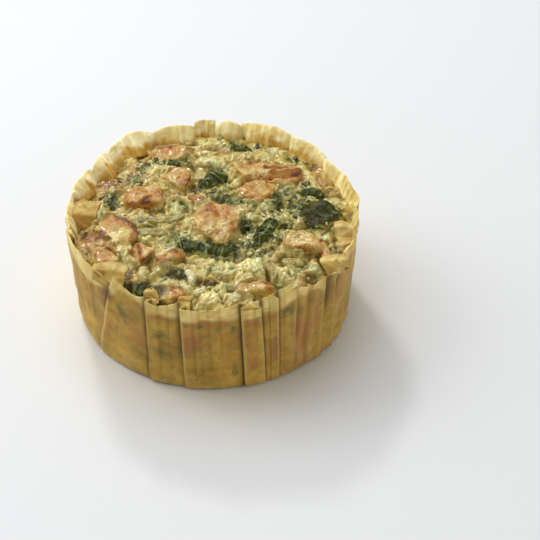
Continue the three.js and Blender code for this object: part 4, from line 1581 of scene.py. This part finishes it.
SALMON = (
    SalmonChunk("salmon_centre", (Block(1.4, -6.6, (20.5, 20, 13), -25, 3.6, 4),), 1,
                (Spot(-1, -1.4, 3.2, 1.2), Spot(4.9, -4.3, 3.0, 0.9), Spot(8.5, -11.4, 2.8, 0.8),
                 Spot(-2.5, -8.5, 2.6, 0.5), Spot(3.5, -12, 4.0, -0.6)), 0.3, flake=0.6, crag=1.2,
                crisp=0.3),
    SalmonChunk("salmon_left", (Block(-28.6, 9.4, (18, 14, 11), 12, 3.2, -6),), 2,
                (Spot(-27.8, 4.2, 3.4, 0.9), Spot(-22, 10.5, 2.6, 0.9), Spot(-28, 12, 7, 0.45)), 0.3,
                crag=0.7, veil=0.5),
    SalmonChunk("salmon_upper_left", (Block(-15.2, 23, (13, 11.5, 10), -40, 2.8, 8),), 3,
                (Spot(-11.5, 20, 3.6, 0.8), Spot(-13.5, 28.5, 2.6, 0.6)), 0.15, rosy=0.6, veil=0.6),
    SalmonChunk("salmon_back_left", (Block(-19.4, 41.2, (19, 10, 7), 8, 1.6, 0),), 4,
                (Spot(-20, 45, 6, 0.5), Spot(-13, 40, 3, 0.4)), 0.45, rosy=0.1, veil=0.7),
    SalmonChunk("salmon_case_left", (Block(-38.4, -10.4, (20, 14, 11), -42, 2.8, 14),), 5,
                (Spot(-46, -3, 3.6, 0.9), Spot(-41, -6, 4, 0.4), Spot(-42, -15, 6, -0.5)), 0.35, crag=0.6,
                rosy=0.3, veil=0.9, seams=(Seam((-46, -1), (-37, -4.8), 2.1, 0.5, 1.05),
                                           Seam((-37, -4.8), (-30.4, -12.4), 2.1, 0.5, 1.2))),
    SalmonChunk("salmon_low_left", (Block(-28.4, -24, (11, 8, 8), 58, 2.0, 6),), 6,
                (Spot(-28, -21, 4, 0.45),), 0.2, rosy=0.45,
                seams=(Seam((-29.4, -22), (-28, -29), 0.9, -0.7, 1.3),)),
    SalmonChunk("salmon_strip", (Block(-16.8, -27.8, (14, 5.6, 6), 28, 2.4, 8),), 7,
                (Spot(-17, -27.5, 7, 0.75), Spot(-22, -30.0, 2.2, 0.6)), 0.35, power=5.0, flake=0.1,
                crag=0.4),
    SalmonChunk("salmon_right", (Block(36.4, -18.2, (16, 12, 11), -10, 3.2, -4),
                                 Block(46.2, -22.4, (5.4, 12, 8), 8, 2.5, 0)), 8,
                (Spot(42, -17, 3.0, 0.4), Spot(46.5, -20, 3.0, 0.5), Spot(47, -25, 2.6, 0.5),
                 Spot(36, -15, 6, -0.3)), 0.1),
    SalmonChunk("salmon_flake", (Block(22.5, 27, (29, 13, 8), -10, 2.2, 6),
                                 Block(17.6, 15, (17, 15, 8), -34, 2.0, -4)), 9,
                (Spot(16, 33, 3, 0.9), Spot(22, 18, 3.0, 0.6), Spot(11, 18, 5, 0.5), Spot(29, 24, 6, 0.4),
                 Spot(16, 10, 5, 0.4)), 0.3, rosy=0.45, veil=1.0,
                seams=(Seam((13, 23), (25, 25.4), 1.1, 1.3, 0.1), Seam((25, 25.4), (36, 27), 1.1, 1.3, 0.1),
                       Seam((22, 28.6), (36, 29.8), 0.9, -1.6, 1.3),
                       Seam((13, 20.8), (24, 22.2), 0.9, -1.3, 1.0),
                       Seam((24, 22.2), (35, 24), 0.8, -1.0, 0.9))),
    SalmonChunk("salmon_front", (Block(17.2, -45, (15, 8, 8), 14, 2.4, -8),), 10,
                (Spot(22, -43.5, 2.2, 1.5), Spot(14, -44, 3, 0.25)), 0.1),
    SalmonChunk("salmon_front_left", (Block(-13.8, -48.4, (7, 6, 6.5), 30, 2.2, 0),), 11,
                (Spot(-14.0, -48.5, 2.4, 0.9),), 0.3),
    SalmonChunk("salmon_crumb_left", (Block(-43, -25.4, (9.5, 9, 8), 20, 1.8, 4),), 12,
                (Spot(-43, -27, 3.0, 0.3), Spot(-46, -23, 2.4, 0.3)), 0.35, rosy=0.15, veil=0.8),
    SalmonChunk("salmon_crumb", (Block(-6.2, 8.6, (5.5, 6, 5), 35, 1.4, 0),), 13,
                (Spot(-6.0, 7.6, 2.4, 1.2),), 0.4),
)

SPINACH = (
    SpinachLeaf("spinach_right", 44.6, 1.6, 19, 17.5, 38, 1.9, 0.9, 0, 0.8, 0.45, 0.1, 0.5),
    SpinachLeaf("spinach_upper", -0.2, 22.4, 15, 11, 50, 1.3, 0.9, 1, crease=0.8, sheen=1.8),
    SpinachLeaf("spinach_middle", -2.4, -21.6, 26, 9, -10, 1.0, 0.6, 2, sheen=1.6),
    SpinachLeaf("spinach_back", 11, 45.8, 10, 6.5, -14, 1.0, 0.5, 3),
    SpinachLeaf("spinach_fold", 22, -11.8, 17, 9, 66, 1.5, 0.9, 4, crease=0.9, stalk=1.1),
    SpinachLeaf("spinach_front_left", -26.8, -45, 9, 6, -28, 0.8, 0.5, 5),
    SpinachLeaf("spinach_back_left", -17.4, 34.4, 7, 3.8, -24, 0.9, 0.3, 6),
    SpinachLeaf("spinach_curl", 41.5, 14.6, 11, 6, -8, 1.3, 0.6, 7),
)

LEEK = (
    LeekPiece("leek_stick", -25, -12.4, 13.5, 5.4, -8, 1.5, 0.4, 1, 0.1, (Spot(-22.4, -12.6, 1.1, 1.5),)),
    LeekPiece("leek_curve", -18.8, -4, 18, 4.6, 8, 1.1, 3.0, 2, 0.35),
    LeekPiece("leek_white", -8, -38, 9, 3.4, 104, 1.2, 0.8, 3, 1.3),
    LeekPiece("leek_ring", -4, -46.4, 6, 3.6, 30, 1.2, 0.8, 4, 1.2),
)


# ------------------------------------------------------------------ the custard


@dataclass(frozen=True)
class Zone:
    """A place with more of something: chopped leaf, browning or height."""

    x: float
    y: float
    long: float
    wide: float
    much: float
    turn: float = 0.0
    power: float = 2.0

    def at(self, x: Array, y: Array) -> Array:
        """How much of it there is at a point."""
        u, v = turned(x - self.x, y - self.y, self.turn)
        away = np.abs(u / self.long) ** self.power + np.abs(v / self.wide) ** self.power
        return self.much * np.exp(-away)


def zones(*rows: tuple[float, ...]) -> tuple[Zone, ...]:
    """Zones from rows of x, y, length, width, amount and at times the turn and the power."""
    return tuple(Zone(*row) for row in rows)


@dataclass(frozen=True)
class Ring:
    """A round translucent layer of onion that stands out of the custard on its edge."""

    x: float
    y: float
    long: float
    wide: float
    turn: float
    thick: float
    much: float

    def at(self, x: Array, y: Array) -> Array:
        """How much of it there is at a point."""
        u, v = turned(x - self.x, y - self.y, self.turn)
        off = (np.hypot(u / self.long, v / self.wide) - 1) * min(self.long, self.wide)
        return self.much * hump(off / self.thick)


GREEN_STAINS = zones(  # x in degrees along the wall, y in height
    (-125.6, 33.5, 2.2, 3.6, 1.2, 20), (-128, 38.5, 1.6, 2.2, 0.8), (-135, 20, 2, 3, 0.5),
    (-115.8, 18, 1.2, 9, 1.2), (-120, 14, 1.4, 2, 0.9), (-110, 29.7, 3, 2, 0.7), (-110.5, 20, 2.6, 2.4, 1),
    (-101.8, 21, 1, 5, 1), (-99, 38.4, 1.4, 1.8, 0.9), (-93.6, 38, 2.4, 1.6, 0.8),
    (-92.6, 32, 1.4, 1.2, 0.7), (-148, 24, 1.6, 2.6, 0.7), (-86.8, 36, 1.6, 1.8, 1.2),
    (-81.4, 36, 1.6, 2.8, 1.3), (-80.4, 9.5, 1.6, 3, 1.3), (-59, 38.7, 3, 2.6, 1), (-57, 40, 2, 5, 0.9),
    (-47.6, 38, 1.4, 6, 0.9), (-61.7, 31, 1, 6, 0.8), (-52.7, 36, 2.4, 3, 0.8), (-41.5, 36, 2, 4, 1.1),
    (-46, 14, 2, 4, 0.5), (-25, 26, 3, 5, 0.6), (-89, 20, 3, 4, 0.35), (-160, 30, 2, 4, 0.5),
    (-68, 36, 2, 3, 0.5),
)
ROSE_STAINS = zones(
    (-108.3, 39.8, 5, 1.8, 1.3), (-117.8, 42.5, 3, 1.6, 0.8), (-138, 41, 2.4, 4.5, 1.2),
    (-99, 40.4, 2, 1.6, 1), (-84, 38.2, 2, 1, 1.3), (-74.5, 37.6, 4, 1.4, 1.3), (-73.8, 27, 3, 9, 0.8),
    (-73, 12, 2.6, 5, 1), (-63.5, 23, 1.8, 7, 1.1), (-53.4, 23, 3.4, 7, 1.4), (-50, 10, 3, 5, 0.7),
    (-45.6, 30, 1.6, 9, 0.7), (-97.2, 26, 3, 9, 0.6), (-149, 38, 3, 6, 0.6), (-30, 28, 3, 9, 0.7),
    (-88, 41, 8, 1.4, 0.5), (-124, 26, 3, 3, 0.4),
)
# painted shadow in the pocket behind a lifted pleat
POCKET = Zone(-132.6, 42.5, 2.6, 5.0, 1.0)  # the dark slot behind a lifted pleat
GREEN = zones(
    (-14.5, -19.5, 5, 2.8, 0.9, -12), (-36, 25.5, 4, 2.6, 0.7), (-30.5, 31, 3.4, 4.5, 0.45),
    (-43.5, 12.5, 3, 3.5, 0.7), (3, 12, 11, 3.5, 0.8, -18), (0, -22, 20, 5, 0.8, -8), (21, -8, 8, 12, 0.65),
    (28, 10, 4, 9, 0.6), (34, 12, 7, 6, 0.45), (44, 0, 12, 12, 0.6), (12, 48, 8, 4, 0.8, -10),
    (-18, 34, 9, 2.5, 0.8, 5), (-33, 22, 6, 4, 0.55), (-42, 9, 3, 7, 0.8), (-28, -43, 8, 4, 0.9, -20),
    (-14, -38, 7, 5, 0.55), (1, -34, 4, 3, 0.5), (27, -42, 4, 2.5, 0.9), (35, 37, 6, 4, 0.65, -30),
    (2, 54, 5, 2, 0.8), (16, -20, 5, 3, 0.8), (-1, 22, 8, 9, 0.5), (-17, 4, 5, 6, 0.35),
    (14, -7, 3, 4, 0.7), (8, 7, 9, 2.5, 0.7, -20), (-9, 22, 3, 3, -0.5), (0, 7, 4, 2.5, -0.5),
    (27, -15.5, 4, 4, 0.8), (23, -25, 4, 3, 0.5), (-14, -35, 5, 4, 0.3), (-13.6, -14, 4, 4, 0.5),
    (-29, -3.6, 3, 3, 0.3), (-50, -11, 5, 6, -0.6), (26, 12, 2, 9, 0.7), (33, 4, 5, 2, 0.7),
    (38, 20, 5, 2, 0.6, -20), (26, -8, 3, 8, 0.5), (33, 11, 8, 9, 0.3), (-16, -6, 12, 6, 0.25),
    (12, -34, 26, 10, 0.2), (6, -18, 16, 8, 0.2), (-30, 24, 12, 6, 0.22, 30), (-30, 32, 6, 4, 0.4, 30),
    (36, -9, 4, 2, 0.7), (-32, -4, 3, 2.5, 0.6),
)
BROWN = zones(
    (-24, 50, 14, 3.5, 0.9, 20), (46, 28, 5, 11, 0.8, 28), (-46, 26, 4.5, 9, 0.9, 35), (38, 24, 9, 6, 0.4),
    (-45, -20, 7, 8, 0.9), (6, 44, 8, 3, 0.45), (25, -26, 5, 4, 0.5), (-26, -34, 7, 4, 0.3),
    (-20, -46, 8, 4, 0.45), (40, -38, 6, 3, 0.7), (8, -52, 10, 3, 0.35), (18, -37, 4, 3, 0.3),
    (-22, -23, 4, 5, 0.5), (-33, -2, 6, 5, 0.15), (-50, -8, 4, 6, 1), (-35, 35, 8, 4, 0.8, 40),
    (-40, 22, 8, 8, 0.35, 30), (-50, -11, 5, 6, 0.8), (-50, 12, 5, 6, 0.5), (-44, 19, 5, 6, 0.5, 30),
    (-30, 26, 5, 3, 0.35), (-38, 25, 8, 4, 0.6, 30), (10, 36, 8, 4, 0.3, -10), (-34, -38, 8, 4, 0.5, -30),
    (46, 8, 3, 12, 0.3, 10), (2, 38, 4, 2, 0.4), (-24, 24, 4, 3, 0.3),
)
BRIGHT = zones(
    (-9, 22, 3, 3.5, 0.9), (1, 7, 4, 2.5, 0.8), (-8, 46.5, 5, 4, 0.9), (14, -52, 9, 3, 0.6),
    (15, -5, 3, 5, 0.5), (10, -31, 14, 7, 0.6), (-3, 38, 6, 6, 0.7), (-22, -17, 5, 2.5, 0.3),
    (-34, 1, 5, 4, 0.4), (14, 2, 4, 5, 0.5), (-30, -34, 7, 4, 0.35), (31, -33, 8, 2, 0.5),
    (-12, 14, 5, 4, 0.5), (6, -47, 4, 6, 0.4), (41.6, -27.2, 2.4, 4.4, 0.9), (-14, 4, 5, 6, 0.5),
    (-36, -24, 2.5, 5, 0.6), (34, -12, 6, 3, 0.5), (-8, -16, 5, 2, 0.4), (48, -14, 3, 7, 1, 10),
)
RISES = zones(
    (14, -35, 8, 4.5, 1.3, 8), (33, -36, 8, 4.5, 1.4, -6, 4), (24, -29.5, 3, 2.2, 1),
    (-2, 36.6, 5, 4.5, 1.3), (5, -49.5, 8, 3.5, 1.2), (-14, 5, 6, 6, 0.7), (-26, -34, 6, 3.5, 1.1, 10),
    (-37, -21, 3, 5, 1), (-44, -35, 4, 3, 0.6), (22, -22, 3, 2.2, 0.8), (41.6, -27.2, 1.9, 3.6, 2.4),
    (14, -52.5, 9, 3, 1.6), (-14, -35, 5, 3, -1.2), (-20, -44.8, 4, 3, -0.8), (0, -46, 3, 2, -1),
    (-29, -3.6, 3, 2.5, -1.3), (33, 9, 5, 5, 0.8), (37, 33, 8, 6, 0.6, -40), (-38, 28, 8, 4, 0.6, 40),
    (22.6, -37, 0.8, 6, -2.4, 8), (-28, -43, 8, 4, -2.2, -20), (-12, -38, 6, 6, -1.2),
    (14, -9, 2.4, 4, -1.8), (-2, -40, 7, 2.5, -0.8, 15), (28, 6, 1.6, 7, -1.8), (-51, -8, 4, 4, -1),
    (48, -14, 2.5, 6, 1.3, 10), (-42, 10, 2, 6, -1.6), (17, -20.5, 4, 1.4, -1.6), (6, 9, 7, 1.5, -1.4, -20),
    (36, -9.6, 4, 1.2, -1.6, 10), (54, -3, 3, 5, -2.4), (-13, 36.4, 4, 1.2, -1.4),
    (29, -31, 5, 0.8, -1.2, -12), (4, -41, 8, 1.2, -1.2, 8), (26.5, -43, 4, 2, -1.8),
    (-8, 8.5, 2, 3.5, -1.2), (4, -18.8, 7, 1.2, -1.4, -10), (24, 21.4, 11, 1, -1.4, 8),
    (-25, -6.6, 5, 1, -1, 12),
)
ONION = (
    Ring(-14.2, 3.6, 5.2, 7.6, 8, 0.75, 1.5), Ring(0.6, -42.6, 4.6, 3.4, -40, 0.5, 1.0),
    Ring(22.4, -9.6, 2.4, 5.4, -6, 0.7, 1.2),
)


class Liking(Enum):
    """Where small bits would rather lie."""

    ANYWHERE = 0
    GREEN = 1
    CURD = 2


@dataclass
class Custard:
    """The filling: a low dome of curdled custard, lumpy and cracked, that fills the case."""

    beds: list[Bed]
    cells: int = 310
    seed: int = 21
    foot: float = 1.35  # height of its underside
    foot_ring: float = 2.4  # height at which the foot's width is taken
    drops: Pair = (-19.0, -19.6)  # how far its side goes down in each step
    finish: CustardFinish = CustardFinish()

    def __post_init__(self) -> None:
        """Draws the custard's noises and lumps."""
        self.grain = Grain(self.seed)
        self.large = Lumps(self.seed + 1, 8.0, 0.85)
        self.middle = Lumps(self.seed + 2, 4.2, 0.75)
        self.small = Lumps(self.seed + 3, 2.1, 0.65)
        self.reach = float(wall_radius(np.array(CUSTARD_CENTRE - CUSTARD_DROP))) - WALL_ROOM

    def green_at(self, x: Array, y: Array) -> Array:
        """How much chopped leaf lies at a point, 0 to about 1."""
        place = flat_points(x, y)
        leafy = total(GREEN, x, y)
        speck = 0.36 * self.grain.at(place + 11, 3.6) + 0.30 * self.grain.at(place + 5, 1.5)
        streak = 0.3 * self.grain.ridges(place + 71, 4.0) * smooth(leafy, 0.05, 0.5)
        return np.clip(0.85 * leafy, 0, 0.75) + speck + streak - 0.09

    def chance(self, liking: Liking, x: Array, y: Array) -> Array:
        """How likely a small bit is to lie at a point.

        Args:
            liking: Where it would rather lie.
            x: Points' x.
            y: Points' y.

        Returns:
            Chances of 0 to 1.
        """
        if liking is Liking.GREEN:
            return 0.03 + 0.97 * smooth(self.green_at(x, y), 0.35, 0.8)
        if liking is Liking.CURD:
            return 1 - 0.8 * smooth(self.green_at(x, y), 0.4, 0.8)
        return np.ones(len(x))

    def relief_at(self, x: Array, y: Array) -> tuple[Array, Array]:
        """Height of the custard over its plain dome, and how sunken each point is.

        Args:
            x: Points' x.
            y: Points' y.

        Returns:
            Heights in millimetres, and a pit mark of 0 to 1.
        """
        place = flat_points(x, y)
        warp_x = x + 2.4 * self.grain.layered(place, 6.5, 3)
        warp_y = y + 2.4 * self.grain.layered(place + 50, 6.5, 3)
        warped = flat_points(warp_x, warp_y)
        large = 0.5 * self.large.at(warp_x, warp_y) + 0.9 * np.abs(self.grain.at(warped + 200, 9.0))
        middle = 0.45 * self.middle.at(warp_x, warp_y) + 0.9 * np.abs(self.grain.at(warped + 230, 4.6))
        small = np.abs(self.grain.at(place + 260, 2.3)) + 0.3 * self.small.at(warp_x, warp_y)
        distance = np.hypot(x, y)
        rim = smooth(distance, 52.0, 59.0)
        lumps = 3.2 * large + 1.5 * middle + 0.45 * small - 2.2
        lumps = lumps + 0.2 * self.grain.layered(place, 3.6, 2)
        creased = smooth(self.grain.at(place, 16.0), -0.3, 0.3)
        creases = -0.9 * self.grain.ridges(place + 17, 8.0) ** 2 * creased
        # it has sunk beside the wall at the front left
        front = smooth(-y, 30.0, 46.0) * smooth(distance, 51.0, 56.0) * (1 - 0.8 * smooth(x, -16.0, -6.0))
        shaped = total(RISES, x, y) - 1.7 * front
        onion = total(ONION, x, y)
        height = (lumps + creases) * (1 - 0.35 * rim) + shaped + onion
        height = height + 1.1 * self.grain.at(place + 3, 13.0)
        # the pit mark paints shade into the hollows between lumps and the dug-down places
        pit = smooth(0.2 - lumps, 0.0, 1.8)
        pit = pit + 1.1 * smooth(-shaped, 0.2, 1.5) - 0.8 * smooth(onion, 0.2, 0.8)
        return height, np.clip(pit, 0, 1.4)

    def bedded(self, x: Array, y: Array, height: Array) -> Array:
        """The relief, pressed down under each piece and drawn up round it."""
        place = flat_points(x, y)
        ragged = 0.17 * self.grain.layered(place + 66, 4.0, 3)
        drawn = 0.55 + 0.9 * smooth(self.grain.at(place + 91, 6.0), -0.4, 0.5)
        for bed in self.beds:
            away = bed.away(x, y) + ragged
            inside = 1 - smooth(away, 0.84, 1.0)
            near = hump((away - 1.1) / 0.16) * drawn
            height = height * (1 - inside) - bed.depth * inside + bed.lip * near * (1 - inside)
        return height

    def surface(self, x: Array, y: Array) -> Array:
        """Height of the custard's finished top."""
        return lie(x, y) + self.bedded(x, y, self.relief_at(x, y)[0])

    def build(self) -> Piece:
        """The custard as one closed mesh.

        Returns:
            The finished object.
        """
        piece = new_grid("custard_filling", self.cells, self.cells)
        raw = read_points(piece)
        u, v = raw[:, 0], raw[:, 1]
        flat = np.abs(u) > np.abs(v)
        long = np.where(flat, u, v)
        short = np.where(flat, v, u)
        part = np.divide(short, long, out=np.zeros_like(u), where=long != 0) * math.pi / 4
        x = np.where(flat, long * np.cos(part), long * np.sin(part)) * self.reach
        y = np.where(flat, long * np.sin(part), long * np.cos(part)) * self.reach
        place = flat_points(x, y)
        height, pit = self.relief_at(x, y)
        distance = np.hypot(x, y)
        inner = 1 - smooth(distance, self.reach - 3, self.reach - 0.4)
        green = self.green_at(x, y)
        chop = smooth(green, 0.45, 0.7)
        wrinkle = 0.9 * self.grain.ridges(place + 8, 2.4) + 0.3 * self.grain.at(place + 77, 1.2) - 0.2
        height = height * (1 - 0.2 * chop) + wrinkle * chop * 0.9
        height = self.bedded(x, y, height)
        creep = 0.9 * smooth(distance, self.reach - 1.6, self.reach) * self.grain.at(place + 2, 9.0)
        z = lie(x, y) + height * (0.3 + 0.7 * inner) + creep
        shift_x = 0.3 * self.grain.at(place + 13, 2.6) * inner
        shift_y = 0.3 * self.grain.at(place + 29, 2.6) * inner
        write_points(piece, np.stack([x + shift_x, y + shift_y, z], axis=1))
        brown = total(BROWN, x, y) * (0.75 + 0.7 * self.grain.layered(place + 6, 4.0, 2))
        edge_brown = smooth(distance, self.reach - 3.5, self.reach - 0.3)
        brown = brown + edge_brown * (0.6 + 0.4 * self.grain.at(place + 9, 8.0))
        brown = brown + 0.2 * smooth(height, 0.8, 2.2)
        for bed in self.beds:
            near = hump(np.clip(bed.away(x, y) - 1.0, 0, None) / 0.28)
            brown = brown + bed.bleed * near * (0.6 + 0.8 * self.grain.layered(place + 44, 3.0, 2))
        bright = total(BRIGHT, x, y)
        onion = np.clip(total(ONION, x, y), 0, 1)
        store(
            piece,
            green=green - 0.5 * onion - 0.25 * bright,
            brown=brown * (1 - 0.6 * chop) * (1 - 0.7 * onion),
            # painted shade in the hollows
            pit=pit,
            # pale curd, and painted light that grows with the height of the lumps
            curd=0.25 + 0.45 * smooth(height, -0.4, 1.6) + 0.6 * bright - 0.15 * onion,
        )
        self.close(piece)
        outward(piece)
        return settle(piece, self.finish.made(), Slot.CUSTARD, "custard")

    def close(self, piece: Piece) -> None:
        """Draws the top's border down the wall and closes the foot.

        Args:
            piece: The custard's top.
        """
        choose(piece)
        bpy.ops.object.mode_set(mode="EDIT")
        bpy.ops.mesh.select_mode(type="EDGE")
        bpy.ops.mesh.select_all(action="DESELECT")
        bpy.ops.mesh.select_non_manifold()
        foot = float(wall_radius(np.array(self.foot_ring))) - WALL_ROOM
        waist = (self.reach + foot) / 2
        for drop, share in zip(self.drops, (waist / self.reach, foot / waist)):
            bpy.ops.mesh.extrude_edges_move(TRANSFORM_OT_translate={"value": (0, 0, drop * MM)})
            bpy.ops.transform.resize(value=(share, share, 1), center_override=(0, 0, 0))
        bpy.ops.transform.resize(value=(1, 1, 0), center_override=(0, 0, self.foot * MM))
        bpy.ops.mesh.edge_face_add()
        bpy.ops.object.mode_set(mode="OBJECT")


# ------------------------------------------------------------------ small things strewn in the top


@dataclass
class Strewn:
    """Many small bits of one kind, each set into the custard's top."""

    name: str
    slot: Slot
    count: int
    seed: int
    size: Pair
    flat: float  # height as a share of the length
    slim: float  # width as a share of the length
    sink: float  # how deep it is set in, 1 for level with the top
    ball: int = 1
    crumple: float = 0.3
    liking: Liking = Liking.ANYWHERE
    marks: dict[str, Pair] = field(default_factory=dict)
    tries: int = 14  # places drawn for each bit
    room: float = 2.0  # how far it keeps off the wall
    vary: Pair = (0.75, 1.3)  # spread of each bit's sides
    tip: float = 0.3
    curl: float = 0.25

    def one(self) -> tuple[Array, Array]:
        """The bit that is copied: its points and its triangles."""
        deselect()
        bpy.ops.mesh.primitive_ico_sphere_add(subdivisions=self.ball, radius=1)
        model = named(self.name + "_one")
        points = read_points(model)
        faces = np.array([list(p.vertices) for p in model.data.polygons])
        mesh = model.data
        bpy.data.objects.remove(model)
        bpy.data.meshes.remove(mesh)
        return points, faces

    def build(self, custard: Custard, material: Material, clear: list[Bed]) -> Piece:
        """All the bits as one mesh.

        Args:
            custard: What they lie in.
            material: Their finish.
            clear: Ground that they keep off.

        Returns:
            The finished object.
        """
        draw = np.random.default_rng(self.seed)
        tries = self.count * self.tries
        distance = (custard.reach - self.room) * np.sqrt(draw.random(tries))
        angle = draw.random(tries) * 2 * math.pi
        x, y = distance * np.cos(angle), distance * np.sin(angle)
        chance = custard.chance(self.liking, x, y)
        for bed in clear:
            chance = chance * smooth(bed.away(x, y), 0.85, 1.0)
        keep = np.flatnonzero(draw.random(tries) < chance)[: self.count]
        x, y = x[keep], y[keep]
        number = len(keep)
        points, faces = self.one()
        length = draw.uniform(*self.size, number)
        scale = np.stack([length, length * self.slim, length * self.flat], axis=1) / 2
        scale *= draw.uniform(*self.vary, (number, 3))
        turn = draw.random(number) * 2 * math.pi
        tilt = draw.normal(0, self.tip, number)
        body = points[None, :, :] * (1 + self.crumple * draw.normal(size=(number, len(points), 1)))
        body = body * scale[:, None, :]
        body[:, :, 1] += draw.normal(0, self.curl, number)[:, None] * body[:, :, 0] ** 2 / length[:, None]
        tall = body[:, :, 2] + body[:, :, 0] * np.tan(tilt)[:, None]
        cos, sin = np.cos(turn)[:, None], np.sin(turn)[:, None]
        px = x[:, None] + body[:, :, 0] * cos - body[:, :, 1] * sin
        py = y[:, None] + body[:, :, 0] * sin + body[:, :, 1] * cos
        pz = custard.surface(x, y)[:, None] + tall + scale[:, None, 2] * (1 - self.sink)
        cloud = np.stack([px, py, pz], axis=2).reshape(-1, 3)
        skin = (faces[None, :, :] + np.arange(number)[:, None, None] * len(points)).reshape(-1, 3)
        mesh = bpy.data.meshes.new(self.name)
        mesh.from_pydata((cloud * MM).tolist(), [], skin.tolist())
        piece = bpy.data.objects.new(self.name, mesh)
        bpy.context.collection.objects.link(piece)
        for mark, (low, high) in self.marks.items():
            store(piece, **{mark: np.repeat(draw.uniform(low, high, number), len(points))})
        outward(piece)
        return settle(piece, material, self.slot)


STREWN = (
    # each leaf bit gets a random share of painted sheen
    Strewn("chopped_spinach", Slot.SPINACH, 130, 31, (1.8, 4.6), 0.12, 0.5, 1.5, 2, 0.25, Liking.GREEN,
           {"rib": (0.2, 0.8), "bronze": (0.0, 0.15), "smear": (0.2, 0.8)}),
    Strewn("herb_specks", Slot.SPINACH, 420, 32, (0.8, 2.4), 0.14, 0.2, 1.1, 1, 0.15, Liking.ANYWHERE,
           {"rib": (0.0, 0.8), "bronze": (0.0, 0.2), "smear": (0.0, 0.8)}),
    Strewn("curd_crumbs", Slot.CUSTARD, 80, 33, (1.4, 3.4), 0.4, 0.75, 1.45, 2, 0.08, Liking.CURD,
           {"green": (-0.3, 0.35), "brown": (0.0, 0.3), "pit": (0.0, 0.3), "curd": (0.2, 1.0)}),
    Strewn("salmon_flecks", Slot.SALMON, 18, 34, (1.4, 3.2), 0.4, 0.65, 1.4, 2, 0.12, Liking.CURD,
           {"brown": (0.0, 0.4), "pit": (0.0, 0.5), "pale": (0.0, 1.0), "smear": (0.0, 0.6)}),
)


# ------------------------------------------------------------------ studio


@dataclass(frozen=True)
class Softbox:
    """A square soft light aimed at the quiche: where it hangs in metres, its side and its power."""

    name: str
    place: Point
    size: float
    watts: float
    colour: Colour = (1.0, 1.0, 1.0)
    aim: Point = (0, 0, 0.02)

    def hang(self) -> None:
        """Adds the light to the scene."""
        light = bpy.data.lights.new(self.name, "AREA")
        light.color = self.colour
        light.shape = "SQUARE"
        light.size = self.size
        light.energy = self.watts
        lamp = bpy.data.objects.new(self.name, light)
        bpy.context.scene.collection.objects.link(lamp)
        lamp.location = self.place
        lamp.rotation_mode = "QUATERNION"
        lamp.rotation_quaternion = (Vector(self.aim) - Vector(self.place)).to_track_quat("-Z", "Y")


SOFTBOXES = (
    Softbox("key", (-1.25, 0.35, 0.95), 0.9, 8.0),
    Softbox("top", (-0.45, 0.55, 1.6), 1.7, 16.0),
    Softbox("glint", (-0.42, 1.15, 1.05), 0.2, 6.4),
    Softbox("fill", (1.1, -0.5, 0.35), 1.0, 2.2, (1.0, 0.74, 0.38)),
)


@dataclass
class Studio:
    """A pale floor, soft light from the back left, and the camera."""

    camera_place: Point = (0.0236, -0.6372, 0.5741)
    camera_drop: float = 41.27
    lens: float = 133.33
    floor_colour: Colour = (0.735, 0.747, 0.762)
    floor_bounce_glow: Colour = (0.79, 0.785, 0.73)
    halo: float = 8.6
    sky: float = 0.44
    sky_colour: tuple[float, float, float, float] = (0.97, 0.985, 1.0, 1)

    def floor(self) -> None:
        """A wide floor just under the case, with a painted warm glow round the case for light bounced off its
        paper.
        """
        deselect()
        bpy.ops.mesh.primitive_plane_add(size=8, location=(0, 0, -0.0002))
        ground = named("floor")
        bench = Bench("floor_matt")
        tone = bench.noise(400.0, 1.0)
        near = bench.node("ShaderNodeMapping", {}, {"Vector": bench.place, "Scale": (self.halo,) * 3})
        settings = {"gradient_type": "SPHERICAL"}
        halo = bench.node("ShaderNodeTexGradient", settings, {"Vector": Shade(bench, near.outputs[0])})
        colour = bench.mix(self.floor_colour, tuple(0.99 * c for c in self.floor_colour), tone)
        # painted warm light, bounced from the case onto the floor round it
        colour = bench.mix(colour, self.floor_bounce_glow, Shade(bench, halo.outputs["Fac"]).step(0.1, 0.6))
        ground.data.materials.append(bench.finish(colour, 0.6 + tone * 0.05, tone, 0.001))

    def lights(self) -> None:
        """The soft lights and an even pale surround."""
        world = bpy.data.worlds.new("surround")
        bpy.context.scene.world = world
        world.use_nodes = True
        background = world.node_tree.nodes["Background"]
        background.inputs["Color"].default_value = self.sky_colour
        background.inputs["Strength"].default_value = self.sky
        for softbox in SOFTBOXES:
            softbox.hang()

    def camera(self) -> None:
        """The camera, a little to the right of the middle and looking down."""
        data = bpy.data.cameras.new("camera")
        data.lens = self.lens
        data.sensor_width = 36.0
        data.clip_start = 0.05
        data.clip_end = 20.0
        seen = bpy.data.objects.new("camera", data)
        bpy.context.scene.collection.objects.link(seen)
        seen.location = self.camera_place
        seen.rotation_euler = (math.radians(90 - self.camera_drop), 0, 0)
        bpy.context.scene.camera = seen

    def build(self) -> None:
        """Everything that isn't the object."""
        bpy.context.scene.view_settings.view_transform = "Standard"
        self.floor()
        self.lights()
        self.camera()


# ------------------------------------------------------------------ assembly


def main() -> None:
    """Builds the studio and every piece in order."""
    logging.basicConfig(level=logging.INFO, format="%(message)s")
    Studio().build()
    finishes = {
        Slot.SALMON: SalmonFinish().made(),
        Slot.SPINACH: LeafFinish().made(),
        Slot.LEEK: LeekFinish().made(),
    }
    PaperCase().build()
    beds = [bed for piece in (*SALMON, *SPINACH, *LEEK) for bed in piece.beds()]
    custard = Custard(beds)
    filling = custard.build()
    finishes[Slot.CUSTARD] = filling.data.materials[0]
    for slot, pieces in ((Slot.SALMON, SALMON), (Slot.SPINACH, SPINACH), (Slot.LEEK, LEEK)):
        for piece in pieces:
            piece.build(finishes[slot])
    for kind in STREWN:
        kind.build(custard, finishes[kind.slot], beds)


if __name__ == "__main__":
    main()
